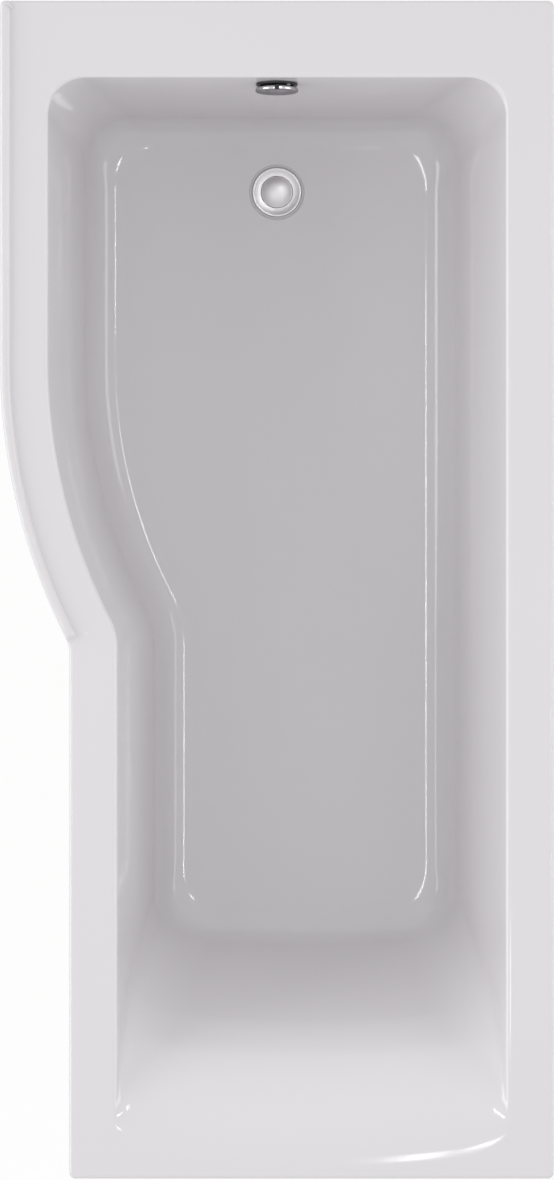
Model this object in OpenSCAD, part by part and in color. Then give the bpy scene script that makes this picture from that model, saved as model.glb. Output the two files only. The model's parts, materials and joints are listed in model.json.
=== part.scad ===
// P-shaped shower bath with a turn-knob pop-up waste and overflow, on a steel leg set.
// +Y points to the waste end, +X to the long wall side, +Z up. Z = 0 is the floor.

/* [Rim outline] */
// Overall length
bath_length = 1700; // [1600:10:1800]
// Width at the shower end
bath_width = 800; // [780:5:850]
// Width at the head end
narrow_width = 700; // [680:5:740]
// Plan radius of the four outer corners
rim_corner_r = 9; // [6:0.5:14]
// Distance from the waste end to where the outer bow starts
bow_start = 522; // [480:2:560]
// Radius of the outer bow
bow_r = 880; // [820:5:940]
// Radius that turns the outer bow into the narrow side
bow_neck_r = 55; // [40:1:80]
// Height of the rim above the floor
rim_height = 560; // [545:1:590]

/* [Rim section] */
// Width of the flat rim along both sides
rim_side = 64; // [64:1:80]
// Depth of the deck at the waste end
rim_tap = 105; // [100:1:130]
// Flat left at the head end before the backrest rolls over
rim_head = 12; // [10:1:20]
// Height of the turned-down edge
apron_h = 35; // [32:1:45]
// Rounding of the rim's outer edge
edge_r = 5; // [4:0.5:8]
// Height of the water-retaining lip above the rim
lip_h = 10; // [6:0.5:14]
// Width of the lip
lip_w = 14; // [11:0.5:14]
// Height of the foot of the lip's inner slope
lip_cove_h = 3; // [1:0.5:4]

/* [Well] */
// Depth of the well at the waste
well_depth = 410; // [385:1:420]
// Fall of the well's floor from head end to waste
floor_fall = 8; // [4:1:14]
// Distance from the waste end to where the well's bow starts
well_bow_start = 518; // [480:2:560]
// Radius of the well's bow at the rim
well_bow_r = 830; // [780:5:880]
// Radius that turns the well's bow into its narrow side
well_neck_r = 75; // [50:1:110]
// Plan radius of the well's corners at the waste end
tap_corner_r = 54; // [45:1:70]
// Plan radius of the well's corners at the head end
head_corner_r = 70; // [60:1:90]
// Extra corner radius that the well gains on its way down
corner_gain = 14; // [0:1:30]
// Radius in plan of the arched backrest
head_arch_r = 1660; // [1500:20:3000]
// Draft of the wall on the shower side, from upright
draft_left = 8; // [6:0.5:11]
// Draft of the wall on the long wall side
draft_right = 10.5; // [8:0.5:12]
// Draft of the wall at the waste end
draft_tap = 8; // [6:0.5:11]
// Slope of the backrest, from level
back_slope = 66; // [62:0.5:68]
// Roll-over radius at the rim on the sides and the waste end
roll_r = 6; // [4:0.5:8]
// Roll-over radius at the top of the backrest
back_roll_r = 235; // [200:5:250]
// Radius between the walls and the floor
floor_r = 55; // [45:1:65]
// Radius between the backrest and the floor
back_floor_r = 56; // [50:1:90]

/* [Shell and supports] */
// Thickness of the acrylic sheet
acrylic_t = 5; // [4:0.5:6]
// Thickness of the glass-fibre laminate behind the well
laminate_t = 3; // [2:0.5:4]
// Thickness of the base board
board_t = 18; // [15:1:22]
// Width of the base board
board_w = 280; // [240:5:300]
// Distance from the backrest's foot to the base board
board_inset = 30; // [10:5:60]
// Distance from the waste's centre to the base board
board_to_waste = 86; // [82:1:120]
// Width of the timber battens under the rim
batten_w = 42; // [36:1:44]
// Height of the timber battens
batten_h = 25; // [20:1:26]

/* [Leg set] */
// Distance of the head-end leg bar from the board's end
head_bar_inset = 100; // [80:5:200]
// Distance of the waste-end leg bar from the board's end
tap_bar_inset = 90; // [60:5:180]
// Width of a leg bar
bar_w = 40; // [36:1:50]
// Height of a leg bar
bar_h = 25; // [20:1:30]
// Sheet thickness of the leg bars and brackets
sheet_t = 2; // [1.5:0.5:3]
// Depth of the centre foot's bracket
centre_bracket_h = 45; // [42:1:50]
// Diameter of a foot's threaded stud
stud_d = 10; // [8:1:12]
// Thickness of a foot's hexagon nut
nut_h = 8; // [6:1:9]
// Diameter of a foot's pad
pad_d = 52; // [44:1:60]
// Height of a foot's pad
pad_h = 24; // [20:1:28]
// How far a foot screws out
foot_extend = 25; // [15:1:26]
// How far a foot screws in
foot_retract = 8; // [4:1:8]
// Distance of each wall bracket from the middle of the bath
bracket_from_middle = 450; // [300:10:600]
// Drop of a wall bracket's plate below its batten
bracket_drop = 52; // [45:1:70]
// Spacing of the two holes in a wall bracket
bracket_pitch = 40; // [30:1:45]
// Diameter of the holes in a wall bracket
bracket_hole_d = 6.5; // [5:0.5:8]

/* [Waste] */
// Distance of the waste from the waste end
waste_from_tap = 269; // [268:1:290]
// Diameter of the waste's flange
flange_d = 73; // [70:0.5:76]
// Diameter of the pop-up plug's dome
plug_d = 45.5; // [44:0.5:46]
// Rise of the plug's dome
plug_rise = 6; // [4:0.5:8]
// Outside diameter of the waste's threaded tail
tail_d = 47.8; // [46:0.2:48]
// Length of the tail below the waste's body
tail_length = 22; // [18:1:26]
// Outside diameter of the waste's body
body_d = 62; // [62:1:68]
// Height of the waste's body below its seal
body_depth = 50; // [48:1:54]
// How far the plug lifts
plug_lift = 8.8; // [7:0.2:9]

/* [Overflow] */
// Depth of the overflow's centre below the rim
overflow_drop = 58; // [54:1:75]
// Diameter of the overflow's knob
knob_d = 62; // [58:1:66]
// Thickness of the knob at its edge
knob_t = 6; // [5:0.5:8]
// Gap for the water behind the knob
knob_gap = 5; // [4:0.5:7]
// Diameter of the hole for the overflow in the tub
overflow_hole_d = 52; // [51:0.5:54]
// Outside radius of the overflow hose over its ribs
hose_r = 18; // [17:0.5:19]
// Radius of the hose's bend
hose_bend_r = 70; // [62:1:76]
// Spacing of the ribs on the hose
hose_rib_pitch = 7; // [6:0.5:9]
// Diameter of the control cable's sheath
cable_d = 5; // [4:0.5:6]

/* [Hidden] */

$fn = 64;
eps = 0.01;
seat_gap = 0.3;      // resin or glue line between bonded layers
slip = 0.05;         // running clearance on a radius
fit_gap = 0.2;       // clearance of a piece that is only held by its neighbour

// Colours
acrylic_white = [0.93, 0.92, 0.93];
laminate_tone = [0.86, 0.87, 0.82];
timber_tone = [0.78, 0.62, 0.42];
board_tone = [0.72, 0.58, 0.40];
steel_tone = [0.66, 0.68, 0.70];
chrome_tone = [0.80, 0.81, 0.83];
black_tone = [0.08, 0.08, 0.09];
plastic_tone = [0.90, 0.90, 0.88];
brass_tone = [0.78, 0.66, 0.36];

// ---- Plan positions -------------------------------------------------------
x_right = bath_width / 2;
x_left = -bath_width / 2;
x_narrow = x_right - narrow_width;
y_tap = bath_length / 2;
y_head = -bath_length / 2;
well_right = x_right - rim_side;
well_left = x_left + rim_side;
well_narrow = x_narrow + rim_side;
well_tap = y_tap - rim_tap;
well_head = y_head + rim_head;
waste_x = (well_left + well_right) / 2;
waste_y = y_tap - waste_from_tap;

// ---- Wall sections ---------------------------------------------------------
// A wall is [steepness, radius at the rim, radius at the floor]. At a depth it
// gives a sample [run from the rim's edge, depth, tilt from level].
wall_left = [90 - draft_left, roll_r, floor_r];
wall_right = [90 - draft_right, roll_r, floor_r];
wall_tap = [90 - draft_tap, roll_r, floor_r];
wall_head = [back_slope, back_roll_r, back_floor_r];
walls = [wall_left, wall_right, wall_tap, wall_head];

function roll_depth(w) = w[1] * (1 - cos(w[0]));
function foot_depth(w) = well_depth - w[2] * (1 - cos(w[0]));
function flat_run(w, depth) = w[1] * sin(w[0]) + (depth - roll_depth(w)) / tan(w[0]);
function foot_sample(w, depth) =
    let (tilt = acos(min(1, 1 - (well_depth - depth) / w[2])))
    [flat_run(w, foot_depth(w)) + w[2] * (sin(w[0]) - sin(tilt)), depth, tilt];
function wall_sample(w, depth) =
    depth < roll_depth(w) ? let (tilt = acos(1 - depth / w[1])) [w[1] * sin(tilt), depth, tilt]
    : depth < foot_depth(w) ? [flat_run(w, depth), depth, w[0]]
    : foot_sample(w, depth);
function wall_run(w) = foot_sample(w, well_depth)[0];

// Depths of the rings: over the sides' roll, down the backrest's roll, the flat, the foot
roll_n = 4;
back_n = 6;
flat_n = 2;
foot_n = 8;
level_n = roll_n + back_n + flat_n + foot_n;
back_tilt = acos(1 - roll_depth(wall_left) / back_roll_r);
depths = concat(
    [for (i = [0 : roll_n]) roll_r * (1 - cos(wall_left[0] * i / roll_n))],
    [for (i = [1 : back_n]) back_roll_r * (1 - cos(back_tilt + (back_slope - back_tilt) * i / back_n))],
    [for (i = [1 : flat_n]) roll_depth(wall_head) + (foot_depth(wall_left) - roll_depth(wall_head)) * i / flat_n],
    [for (i = [1 : foot_n]) well_depth - floor_r * (1 - cos(wall_left[0] * (1 - i / foot_n)))]);

// Feet of the walls on the floor
floor_left = well_left + wall_run(wall_left);
floor_narrow = well_narrow + wall_run(wall_left);
floor_right = well_right - wall_run(wall_right);
floor_tap = well_tap - wall_run(wall_tap);
floor_head = well_head + wall_run(wall_head);

// The floor falls evenly from the backrest's foot to the waste
fall_share = floor_fall / well_depth / (waste_y - floor_head);
function depth_share(y) = 1 - fall_share * max(0, waste_y - y);
function floor_z(y, below) = rim_height - (well_depth + below) * depth_share(y);
fall_angle = atan(fall_share * well_depth);

// ---- Plan outlines ---------------------------------------------------------
side_n = 4;
corner_n = 7;
end_n = 4;
left_n = 2;
bow_n = 12;
neck_n = 5;
narrow_n = 3;
ring_n = side_n + 4 * corner_n + 2 * end_n + left_n + bow_n + neck_n + narrow_n;

// Where the bow, which bulges outwards, meets the neck, which is hollow
function neck_y(o) = o[5] - sqrt(pow(o[6] + o[7], 2) - pow(o[1] - o[7] - o[0] - o[6], 2));
function bow_turn(o) = asin((o[5] - neck_y(o)) / (o[6] + o[7]));

function line_points(a, b, n) = [for (i = [0 : n - 1]) a + (b - a) * i / n];
function arc_points(c, r, from, to, n) =
    [for (i = [0 : n - 1]) let (t = from + (to - from) * i / n) c + r * [cos(t), sin(t)]];

// o = [left x, narrow x, right x, waste-end y, head-end y, bow's start, bow r, neck r,
//      waste-end corner r, head-end corner r, arch of the head end]
function outline(o) =
    let (ny = neck_y(o), turn = bow_turn(o), ct = o[8], ch = o[9], mid = (o[1] + o[2]) / 2)
    let (flat = concat(
        line_points([o[2], o[4] + ch], [o[2], o[3] - ct], side_n),
        arc_points([o[2] - ct, o[3] - ct], ct, 0, 90, corner_n),
        line_points([o[2] - ct, o[3]], [o[0] + ct, o[3]], end_n),
        arc_points([o[0] + ct, o[3] - ct], ct, 90, 180, corner_n),
        line_points([o[0], o[3] - ct], [o[0], o[5]], left_n),
        arc_points([o[0] + o[6], o[5]], o[6], 180, 180 + turn, bow_n),
        arc_points([o[1] - o[7], ny], o[7], turn, 0, neck_n),
        line_points([o[1], ny], [o[1], o[4] + ch], narrow_n),
        arc_points([o[1] + ch, o[4] + ch], ch, 180, 270, corner_n),
        line_points([o[1] + ch, o[4]], [o[2] - ch, o[4]], end_n),
        arc_points([o[2] - ch, o[4] + ch], ch, 270, 360, corner_n)))
    [for (j = [0 : ring_n - 1])
        flat[j] + [0, o[10] * pow(flat[j][0] - mid, 2) * wall_share[j][3]]];

// How much each wall, [left, right, waste end, head end], has of every point round a ring
function ease(s) = s * s * (3 - 2 * s);
function share_blend(a, b, n) = [for (i = [0 : n - 1]) a + (b - a) * ease(i / n)];
only_left = [1, 0, 0, 0];
only_right = [0, 1, 0, 0];
only_tap = [0, 0, 1, 0];
only_head = [0, 0, 0, 1];
wall_share = concat(
    share_blend(only_right, only_right, side_n),
    share_blend(only_right, only_tap, corner_n),
    share_blend(only_tap, only_tap, end_n),
    share_blend(only_tap, only_left, corner_n),
    share_blend(only_left, only_left, left_n + bow_n + neck_n + narrow_n),
    share_blend(only_left, only_head, corner_n),
    share_blend(only_head, only_head, end_n),
    share_blend(only_head, only_right, corner_n));

// The lip follows the shower side from the waste end to the neck
lip_first = side_n + corner_n + end_n + ceil(corner_n / 2);
lip_last = side_n + 2 * corner_n + end_n + left_n + bow_n;
function lip_share(j) = j < lip_first ? 0 : j <= lip_last ? 1 : j == lip_last + 1 ? 0.5 : 0;

rim_edge = [x_left, x_narrow, x_right, y_tap, y_head, y_tap - bow_start, bow_r, bow_neck_r,
    rim_corner_r, rim_corner_r, 0];
// Each outline value's change when the outline moves inwards by 1; the arch stays
inwards = [1, 1, -1, -1, 1, 0, -1, 1, -1, -1, 0];
function rim_inset(e) = [for (i = [0 : 10])
    i == 8 || i == 9 ? max(1, rim_edge[i] - e) : rim_edge[i] + inwards[i] * e];

well_edge = [well_left, well_narrow, well_right, well_tap, well_head, y_tap - well_bow_start,
    well_bow_r, well_neck_r, tap_corner_r, head_corner_r, 0.5 / head_arch_r];

// The well's outline at a level, grown outwards by grow
function well_outline(level, grow) =
    let (at = [for (w = walls) wall_sample(w, depths[level])],
         in = [for (p = at) p[0] - grow * sin(p[2])],
         wider = corner_gain * depths[level] / well_depth + grow * sin(at[0][2]))
    [well_edge[0] + in[0], well_edge[1] + in[0], well_edge[2] - in[1], well_edge[3] - in[2],
        well_edge[4] + in[3], well_edge[5], well_edge[6] - in[0], well_edge[7] + in[0],
        well_edge[8] + wider, well_edge[9] + wider, well_edge[10]];
function well_ring(level, grow) =
    let (plan = outline(well_outline(level, grow)), at = [for (w = walls) wall_sample(w, depths[level])],
         thick = [for (p = at) grow * cos(p[2])])
    [for (j = [0 : ring_n - 1])
        [plan[j][0], plan[j][1],
            rim_height - (depths[level] + wall_share[j] * thick) * depth_share(plan[j][1])]];

// ---- Rim surface -------------------------------------------------------------
edge_steps = [0, 0.15, 0.35, 0.65, 1];                     // shares of the rounded edge
cove_steps = [0.035, 0.085, 0.12, 0.155, 0.2, 0.34, 0.62]; // shares of the rim inside that edge
lip_round = 5;
lip_fall_start = lip_w - 4;
lip_fall_end = lip_w + 5;
lip_cove_end = lip_w + 38;

function edge_height(e) = e >= edge_r ? 0 : sqrt(pow(edge_r, 2) - pow(edge_r - e, 2)) - edge_r;
function lip_height(e) =
    e < lip_round ? lip_h - lip_round + sqrt(pow(lip_round, 2) - pow(lip_round - e, 2))
    : e < lip_fall_start ? lip_h
    : e < lip_fall_end ? lip_cove_h + (lip_h - lip_cove_h)
        * (1 - ease((e - lip_fall_start) / (lip_fall_end - lip_fall_start)))
    : e < lip_cove_end ? lip_cove_h * pow((lip_cove_end - e) / (lip_cove_end - lip_fall_end), 2) : 0;
function rim_z(e, j) = rim_height + edge_height(e) + lip_share(j) * (lip_height(e) - edge_height(e));

function with_z(plan, z) = [for (p = plan) [p[0], p[1], z]];
edge_rings = [for (s = edge_steps) let (e = edge_r * s, plan = outline(rim_inset(e)))
    [for (j = [0 : ring_n - 1]) [plan[j][0], plan[j][1], rim_z(e, j)]]];
function blend_outline(s) = rim_inset(edge_r) * (1 - s) + well_edge * s;
cove_rings = [for (s = cove_steps)
    let (e = edge_r + (rim_side - edge_r) * s, plan = outline(blend_outline(s)))
    [for (j = [0 : ring_n - 1]) [plan[j][0], plan[j][1], rim_z(e, j)]]];

// ---- Lofting -----------------------------------------------------------------
floor_middle = [(floor_narrow + floor_right) / 2, (floor_head + floor_tap) / 2];
// Closes a row of rings, from one middle point to the other, into a solid. The first
// rings climb, rise steps in all, and the others go down; every quad is split from its
// upper corner to its lower one, so that faces one above the other stay parallel.
module loft(rings, first, last, rise) {
    n = ring_n;
    m = len(rings);
    points = concat([first], [for (r = rings) for (p = r) p], [last]);
    faces = concat(
        [for (j = [0 : n - 1]) [0, 1 + (j + 1) % n, 1 + j]],
        [for (i = [0 : m - 2]) for (j = [0 : n - 1]) for (half = [0, 1])
            let (a = 1 + i * n, b = a + n, k = (j + 1) % n)
            i < rise ? (half == 0 ? [a + j, a + k, b + k] : [a + j, b + k, b + j])
            : half == 0 ? [a + j, a + k, b + j] : [a + k, b + k, b + j]],
        [for (j = [0 : n - 1]) [1 + (m - 1) * n + j, 1 + (m - 1) * n + (j + 1) % n, 1 + m * n]]);
    polyhedron(points, faces, convexity = 10);
}

function middle_point(below) = [floor_middle[0], floor_middle[1], floor_z(floor_middle[1], below)];

// ---- Overflow's place in the wall at the waste end ------------------------------
steep_tap = wall_tap[0];
overflow_at = [waste_x, well_tap - flat_run(wall_tap, overflow_drop), rim_height - overflow_drop];
wall_out = [0, -sin(steep_tap), cos(steep_tap)];
function overflow_point(u) = overflow_at + wall_out * u;
module at_overflow() { translate(overflow_at) rotate([steep_tap, 0, 0]) children(); }

// ---- Waste's levels ------------------------------------------------------------
well_floor_z = rim_height - well_depth;
recess_r = flange_d / 2 + 3;
recess_h = 2;
boss_r = body_d / 2 + 8;
shell_t = acrylic_t + laminate_t + seat_gap;
seal_t = 3;
flange_seal_t = 1;
flange_t = 3;
flange_z = well_floor_z - recess_h + flange_seal_t;
boss_z = well_floor_z - shell_t - seat_gap;
body_top = boss_z - seal_t;
body_bottom = body_top - body_depth;
waste_hole_r = tail_d / 2 + 2;
body_r = body_d / 2;
body_wall = 4;
chamber_r = body_r - body_wall;
neck_h = 14;
chamber_top = body_top - neck_h;
chamber_bottom = body_bottom + body_wall;
tail_r = tail_d / 2;
tail_bore_r = tail_r - 4;
tube_bore_r = tail_r - 3;
module at_waste() { translate([waste_x, waste_y, 0]) children(); }

// ---- Tub -----------------------------------------------------------------------
module tub_shell() {
    under = [for (i = [0 : level_n]) well_ring(level_n - i, acrylic_t)];
    over = [for (i = [0 : level_n]) well_ring(i, 0)];
    rings = concat(
        [for (i = [0 : level_n]) over[level_n - i]],
        [for (i = [len(cove_rings) - 1 : -1 : 0]) cove_rings[i]],
        [for (i = [len(edge_rings) - 1 : -1 : 0]) edge_rings[i]],
        [with_z(outline(rim_edge), rim_height - apron_h)],
        [with_z(outline(rim_inset(acrylic_t)), rim_height - apron_h)],
        [with_z(outline(rim_inset(acrylic_t)), rim_height - acrylic_t)],
        [for (i = [0 : level_n]) under[level_n - i]]);
    color(acrylic_white) difference() {
        union() {
            loft(rings, middle_point(0), middle_point(acrylic_t), level_n);
            at_waste() translate([0, 0, boss_z]) cylinder(r = boss_r, h = well_floor_z - boss_z - 1);
        }
        at_waste() {
            translate([0, 0, well_floor_z - recess_h]) cylinder(r = recess_r, h = 20);
            translate([0, 0, boss_z - 1]) cylinder(r = waste_hole_r, h = 20);
        }
        at_overflow() translate([0, 0, -acrylic_t * 2]) cylinder(d = overflow_hole_d, h = acrylic_t * 4);
    }
}

module glass_laminate() {
    near = acrylic_t + seat_gap;
    far = near + laminate_t;
    rings = concat(
        [for (i = [level_n : -1 : roll_n]) well_ring(i, near)],
        [for (i = [roll_n : level_n]) well_ring(i, far)]);
    color(laminate_tone) difference() {
        loft(rings, middle_point(near), middle_point(far), level_n - roll_n);
        at_waste() translate([0, 0, boss_z - 10]) cylinder(r = boss_r + 1, h = 30);
        at_overflow() translate([0, 0, -far - 10]) cylinder(r = elbow_flange_r + 2, h = far + 12);
    }
}

// ---- Base board ------------------------------------------------------------------
board_mid_x = floor_middle[0];
board_from = floor_head + board_inset;
board_to = waste_y - board_to_waste;
board_len = board_to - board_from;
board_below = shell_t + 2 * seat_gap;
function board_bottom(y) = floor_z(y, board_below) - board_t / cos(fall_angle);
board_corner_r = 12;
screw_r = 2;
screw_head_r = 4;
screw_head_h = 2.4;
screw_len = 14;
screw_bore = screw_r + fit_gap;

module at_board_top() {
    translate([board_mid_x, board_from, floor_z(board_from, board_below)])
        rotate([-fall_angle, 0, 0]) children();
}
module base_board() {
    color(board_tone) difference() {
        at_board_top() translate([-board_w / 2, 0, -board_t])
            linear_extrude(board_t) {
                r = board_corner_r;
                translate([r, 0]) square([board_w - 2 * r, board_len]);
                translate([0, r]) square([board_w, board_len - 2 * r]);
                for (x = [r, board_w - r], y = [r, board_len - r]) translate([x, y]) circle(r);
            }
        for (p = leg_screw_points) translate([p[0], p[1], p[2] - eps]) cylinder(r = screw_bore, h = screw_len);
    }
}

// ---- Battens under the rim ---------------------------------------------------------
batten_in = acrylic_t + seat_gap;
batten_top = rim_height - acrylic_t - seat_gap;
batten_far = batten_in + batten_w;
batten_end = max(batten_in, rim_corner_r); // the square ends stop where the corner's rounding starts
head_batten_top = batten_top - back_roll_r * (1 - cos(asin(batten_far / back_roll_r)));
narrow_top_y = neck_y(rim_inset(batten_in)) - 6;
module plank(x0, x1, y0, y1, top) {
    color(timber_tone) translate([x0, y0, top - batten_h]) cube([x1 - x0, y1 - y0, batten_h]);
}
module batten_wall_side() {
    difference() {
        plank(x_right - batten_far, x_right - batten_in, y_head + batten_end, y_tap - batten_end, batten_top);
        for (p = bracket_screw_points) color(timber_tone)
            translate([p[0], p[1], batten_top - batten_h - eps]) cylinder(r = screw_bore, h = screw_len);
    }
}
module batten_tap_end() {
    plank(x_left + batten_far + fit_gap, x_right - batten_far - fit_gap,
        y_tap - batten_far, y_tap - batten_in, batten_top);
}
module batten_head_end() {
    plank(x_narrow + batten_far + fit_gap, x_right - batten_far - fit_gap,
        y_head + batten_in, y_head + batten_far, head_batten_top);
}
module batten_front_wide() {
    plank(x_left + batten_in, x_left + batten_far, rim_edge[5] + fit_gap, y_tap - batten_end, batten_top);
}
module batten_front_bow() {
    bow_end = bow_turn(rim_inset(batten_in)) - 1.5;
    color(timber_tone) translate([x_left + bow_r, rim_edge[5], batten_top - batten_h])
        rotate([0, 0, 180]) rotate_extrude(angle = bow_end)
            translate([bow_r - batten_far, 0]) square([batten_w, batten_h]);
}
module batten_front_narrow() {
    plank(x_narrow + batten_in, x_narrow + batten_far, y_head + batten_end, narrow_top_y, batten_top);
}

// ---- Leg set --------------------------------------------------------------------------
head_bar_y = board_from + head_bar_inset;
tap_bar_y = board_to - tap_bar_inset;
foot_clear = floor_r + shell_t + stud_d / 2 + nut_h;
foot_left_head = floor_narrow - foot_clear;
foot_left_tap = floor_left - foot_clear;
foot_right = floor_right + foot_clear;
bar_over = 20;
centre_y = (head_bar_y + tap_bar_y) / 2;
centre_plate = 84;
function bar_top(y) = board_bottom(y + bar_w / 2) - slip;
head_bar_top = bar_top(head_bar_y);
tap_bar_top = bar_top(tap_bar_y);
centre_top = board_bottom(centre_y + centre_plate / 2) - slip;
centre_web = centre_top - centre_bracket_h + sheet_t;

stud_r = stud_d / 2;
stud_over = nut_h + foot_extend + 0.5;
stud_foot = 8;
// Each foot: [x, y, top of the sheet that its nuts clamp]
feet = [
    [foot_left_head, head_bar_y, head_bar_top],
    [foot_right, head_bar_y, head_bar_top],
    [foot_left_tap, tap_bar_y, tap_bar_top],
    [foot_right, tap_bar_y, tap_bar_top],
    [board_mid_x, centre_y, centre_web]];

screw_inset = 28;
leg_screw_points = concat(
    [for (x = [-1, 1], y = [-1, 1])
        [board_mid_x + x * (board_w / 2 - screw_inset), head_bar_y + y * bar_w / 4, head_bar_top]],
    [for (x = [-1, 1], y = [-1, 1])
        [board_mid_x + x * (board_w / 2 - screw_inset), tap_bar_y + y * bar_w / 4, tap_bar_top]],
    [for (x = [-1, 1], y = [-1, 1])
        [board_mid_x + x * centre_plate * 0.38, centre_y + y * centre_plate * 0.25, centre_top]]);

module screw_up(at, sheet) {
    translate([at[0], at[1], at[2] - sheet - screw_head_h]) cylinder(r = screw_head_r, h = screw_head_h);
    translate([at[0], at[1], at[2] - sheet - eps]) cylinder(r = screw_r, h = screw_len - 1 + sheet);
}
module leg_screws() {
    color(steel_tone) for (p = leg_screw_points) screw_up(p, sheet_t);
}

// An upturned channel, its web on top, from x0 to x1
module leg_bar(x0, x1, y, top, holes) {
    color(steel_tone) difference() {
        translate([x0, y - bar_w / 2, top - bar_h]) cube([x1 - x0, bar_w, bar_h]);
        translate([x0 - 1, y - bar_w / 2 + sheet_t, top - bar_h - 1])
            cube([x1 - x0 + 2, bar_w - 2 * sheet_t, bar_h + 1 - sheet_t]);
        for (x = holes) translate([x, y, top - bar_h]) cylinder(r = stud_r + fit_gap, h = bar_h + 1);
        for (p = leg_screw_points) translate([p[0], p[1], top - sheet_t - 1])
            cylinder(r = screw_bore, h = sheet_t + 2);
    }
}
module leg_bar_head() {
    leg_bar(foot_left_head - bar_over, foot_right + bar_over, head_bar_y, head_bar_top,
        [foot_left_head, foot_right]);
}
module leg_bar_tap() {
    leg_bar(foot_left_tap - bar_over, foot_right + bar_over, tap_bar_y, tap_bar_top,
        [foot_left_tap, foot_right]);
}
// A hat-shaped bracket: two ears on the board, two sides and a web for the stud
module centre_foot_bracket() {
    hat_w = 46;
    depth = centre_plate * 0.7;
    color(steel_tone) translate([board_mid_x, centre_y, 0]) difference() {
        union() {
            translate([-centre_plate / 2, -depth / 2, centre_top - sheet_t]) cube([centre_plate, depth, sheet_t]);
            translate([-hat_w / 2, -depth / 2, centre_web - sheet_t])
                cube([hat_w, depth, centre_top - centre_web + sheet_t]);
        }
        translate([-hat_w / 2 + sheet_t, -depth / 2 - 1, centre_web])
            cube([hat_w - 2 * sheet_t, depth + 2, centre_top - centre_web + 1]);
        translate([0, 0, centre_web - sheet_t - 1]) cylinder(r = stud_r + fit_gap, h = sheet_t + 2);
        for (x = [-1, 1], y = [-1, 1])
            translate([x * centre_plate * 0.38, y * centre_plate * 0.25, centre_top - sheet_t - 1])
                cylinder(r = screw_bore, h = sheet_t + 2);
    }
}

module foot_stud(f) {
    color(steel_tone) translate([f[0], f[1], stud_foot])
        cylinder(r = stud_r - slip, h = f[2] + stud_over - stud_foot);
}
module foot_nuts(f) {
    across = stud_d * 1.7;
    color(steel_tone) for (z = [f[2], f[2] - sheet_t - nut_h]) translate([f[0], f[1], z]) difference() {
        cylinder(d = across / cos(30), h = nut_h, $fn = 6);
        translate([0, 0, -1]) cylinder(r = stud_r, h = nut_h + 2);
    }
}
// A spun foot with a socket for the stud's end
module foot_pad(f) {
    r = pad_d / 2;
    neck = stud_r + 6;
    color(black_tone) translate([f[0], f[1], 0]) rotate_extrude() polygon([
        [0, 0], [r - 1.5, 0], [r, 1.5], [r, 5], [r - 3, 7], [neck + 4, 9.5], [neck, 13],
        [neck, pad_h - 1.5], [neck - 1.5, pad_h], [stud_r + slip, pad_h], [stud_r + slip, stud_foot], [0, stud_foot]]);
}
module foot_pad_1() { foot_pad(feet[0]); }
module foot_pad_2() { foot_pad(feet[1]); }
module foot_pad_3() { foot_pad(feet[2]); }
module foot_pad_4() { foot_pad(feet[3]); }
module foot_pad_5() { foot_pad(feet[4]); }
module foot_stud_1() { foot_stud(feet[0]); }
module foot_stud_2() { foot_stud(feet[1]); }
module foot_stud_3() { foot_stud(feet[2]); }
module foot_stud_4() { foot_stud(feet[3]); }
module foot_stud_5() { foot_stud(feet[4]); }
module foot_nuts_1() { foot_nuts(feet[0]); }
module foot_nuts_2() { foot_nuts(feet[1]); }
module foot_nuts_3() { foot_nuts(feet[2]); }
module foot_nuts_4() { foot_nuts(feet[3]); }
module foot_nuts_5() { foot_nuts(feet[4]); }

// ---- Wall brackets -----------------------------------------------------------------------
bracket_w = bracket_pitch + 24;
bracket_top = batten_top - batten_h;
bracket_face = x_right - 1;
bracket_tab = batten_w * 0.85;
bracket_screw_x = bracket_face - bracket_tab + 11;
bracket_screw_points = [for (m = [-1, 1], s = [-1, 1])
    [bracket_screw_x, m * bracket_from_middle + s * bracket_w / 4, bracket_top]];
// An angle: a tab under the batten and a plate with two holes that faces the wall
module wall_bracket(y) {
    drop = bracket_drop;
    color(steel_tone) difference() {
        union() {
            translate([bracket_face - bracket_tab, y - bracket_w / 2, bracket_top - sheet_t])
                cube([bracket_tab - sheet_t / 2 - acrylic_t, bracket_w, sheet_t]);
            translate([bracket_face - acrylic_t - sheet_t, y - bracket_w / 2, bracket_top - apron_h])
                cube([sheet_t, bracket_w, apron_h]);
            translate([bracket_face - acrylic_t - sheet_t, y - bracket_w / 2, bracket_top - apron_h])
                cube([acrylic_t + sheet_t, bracket_w, sheet_t]);
            translate([bracket_face - sheet_t, y - bracket_w / 2, bracket_top - apron_h - drop])
                cube([sheet_t, bracket_w, drop + sheet_t]);
        }
        for (s = [-1, 1]) {
            translate([bracket_face - 10, y + s * bracket_pitch / 2, bracket_top - apron_h - drop * 0.6])
                rotate([0, 90, 0]) cylinder(d = bracket_hole_d, h = 20);
            translate([bracket_screw_x, y + s * bracket_w / 4, bracket_top - sheet_t - 1])
                cylinder(r = screw_bore, h = sheet_t + 2);
        }
    }
}
module wall_bracket_head() { wall_bracket(-bracket_from_middle); }
module wall_bracket_tap() { wall_bracket(bracket_from_middle); }
module bracket_screws() {
    color(steel_tone) for (p = bracket_screw_points) screw_up(p, sheet_t);
}

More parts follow.
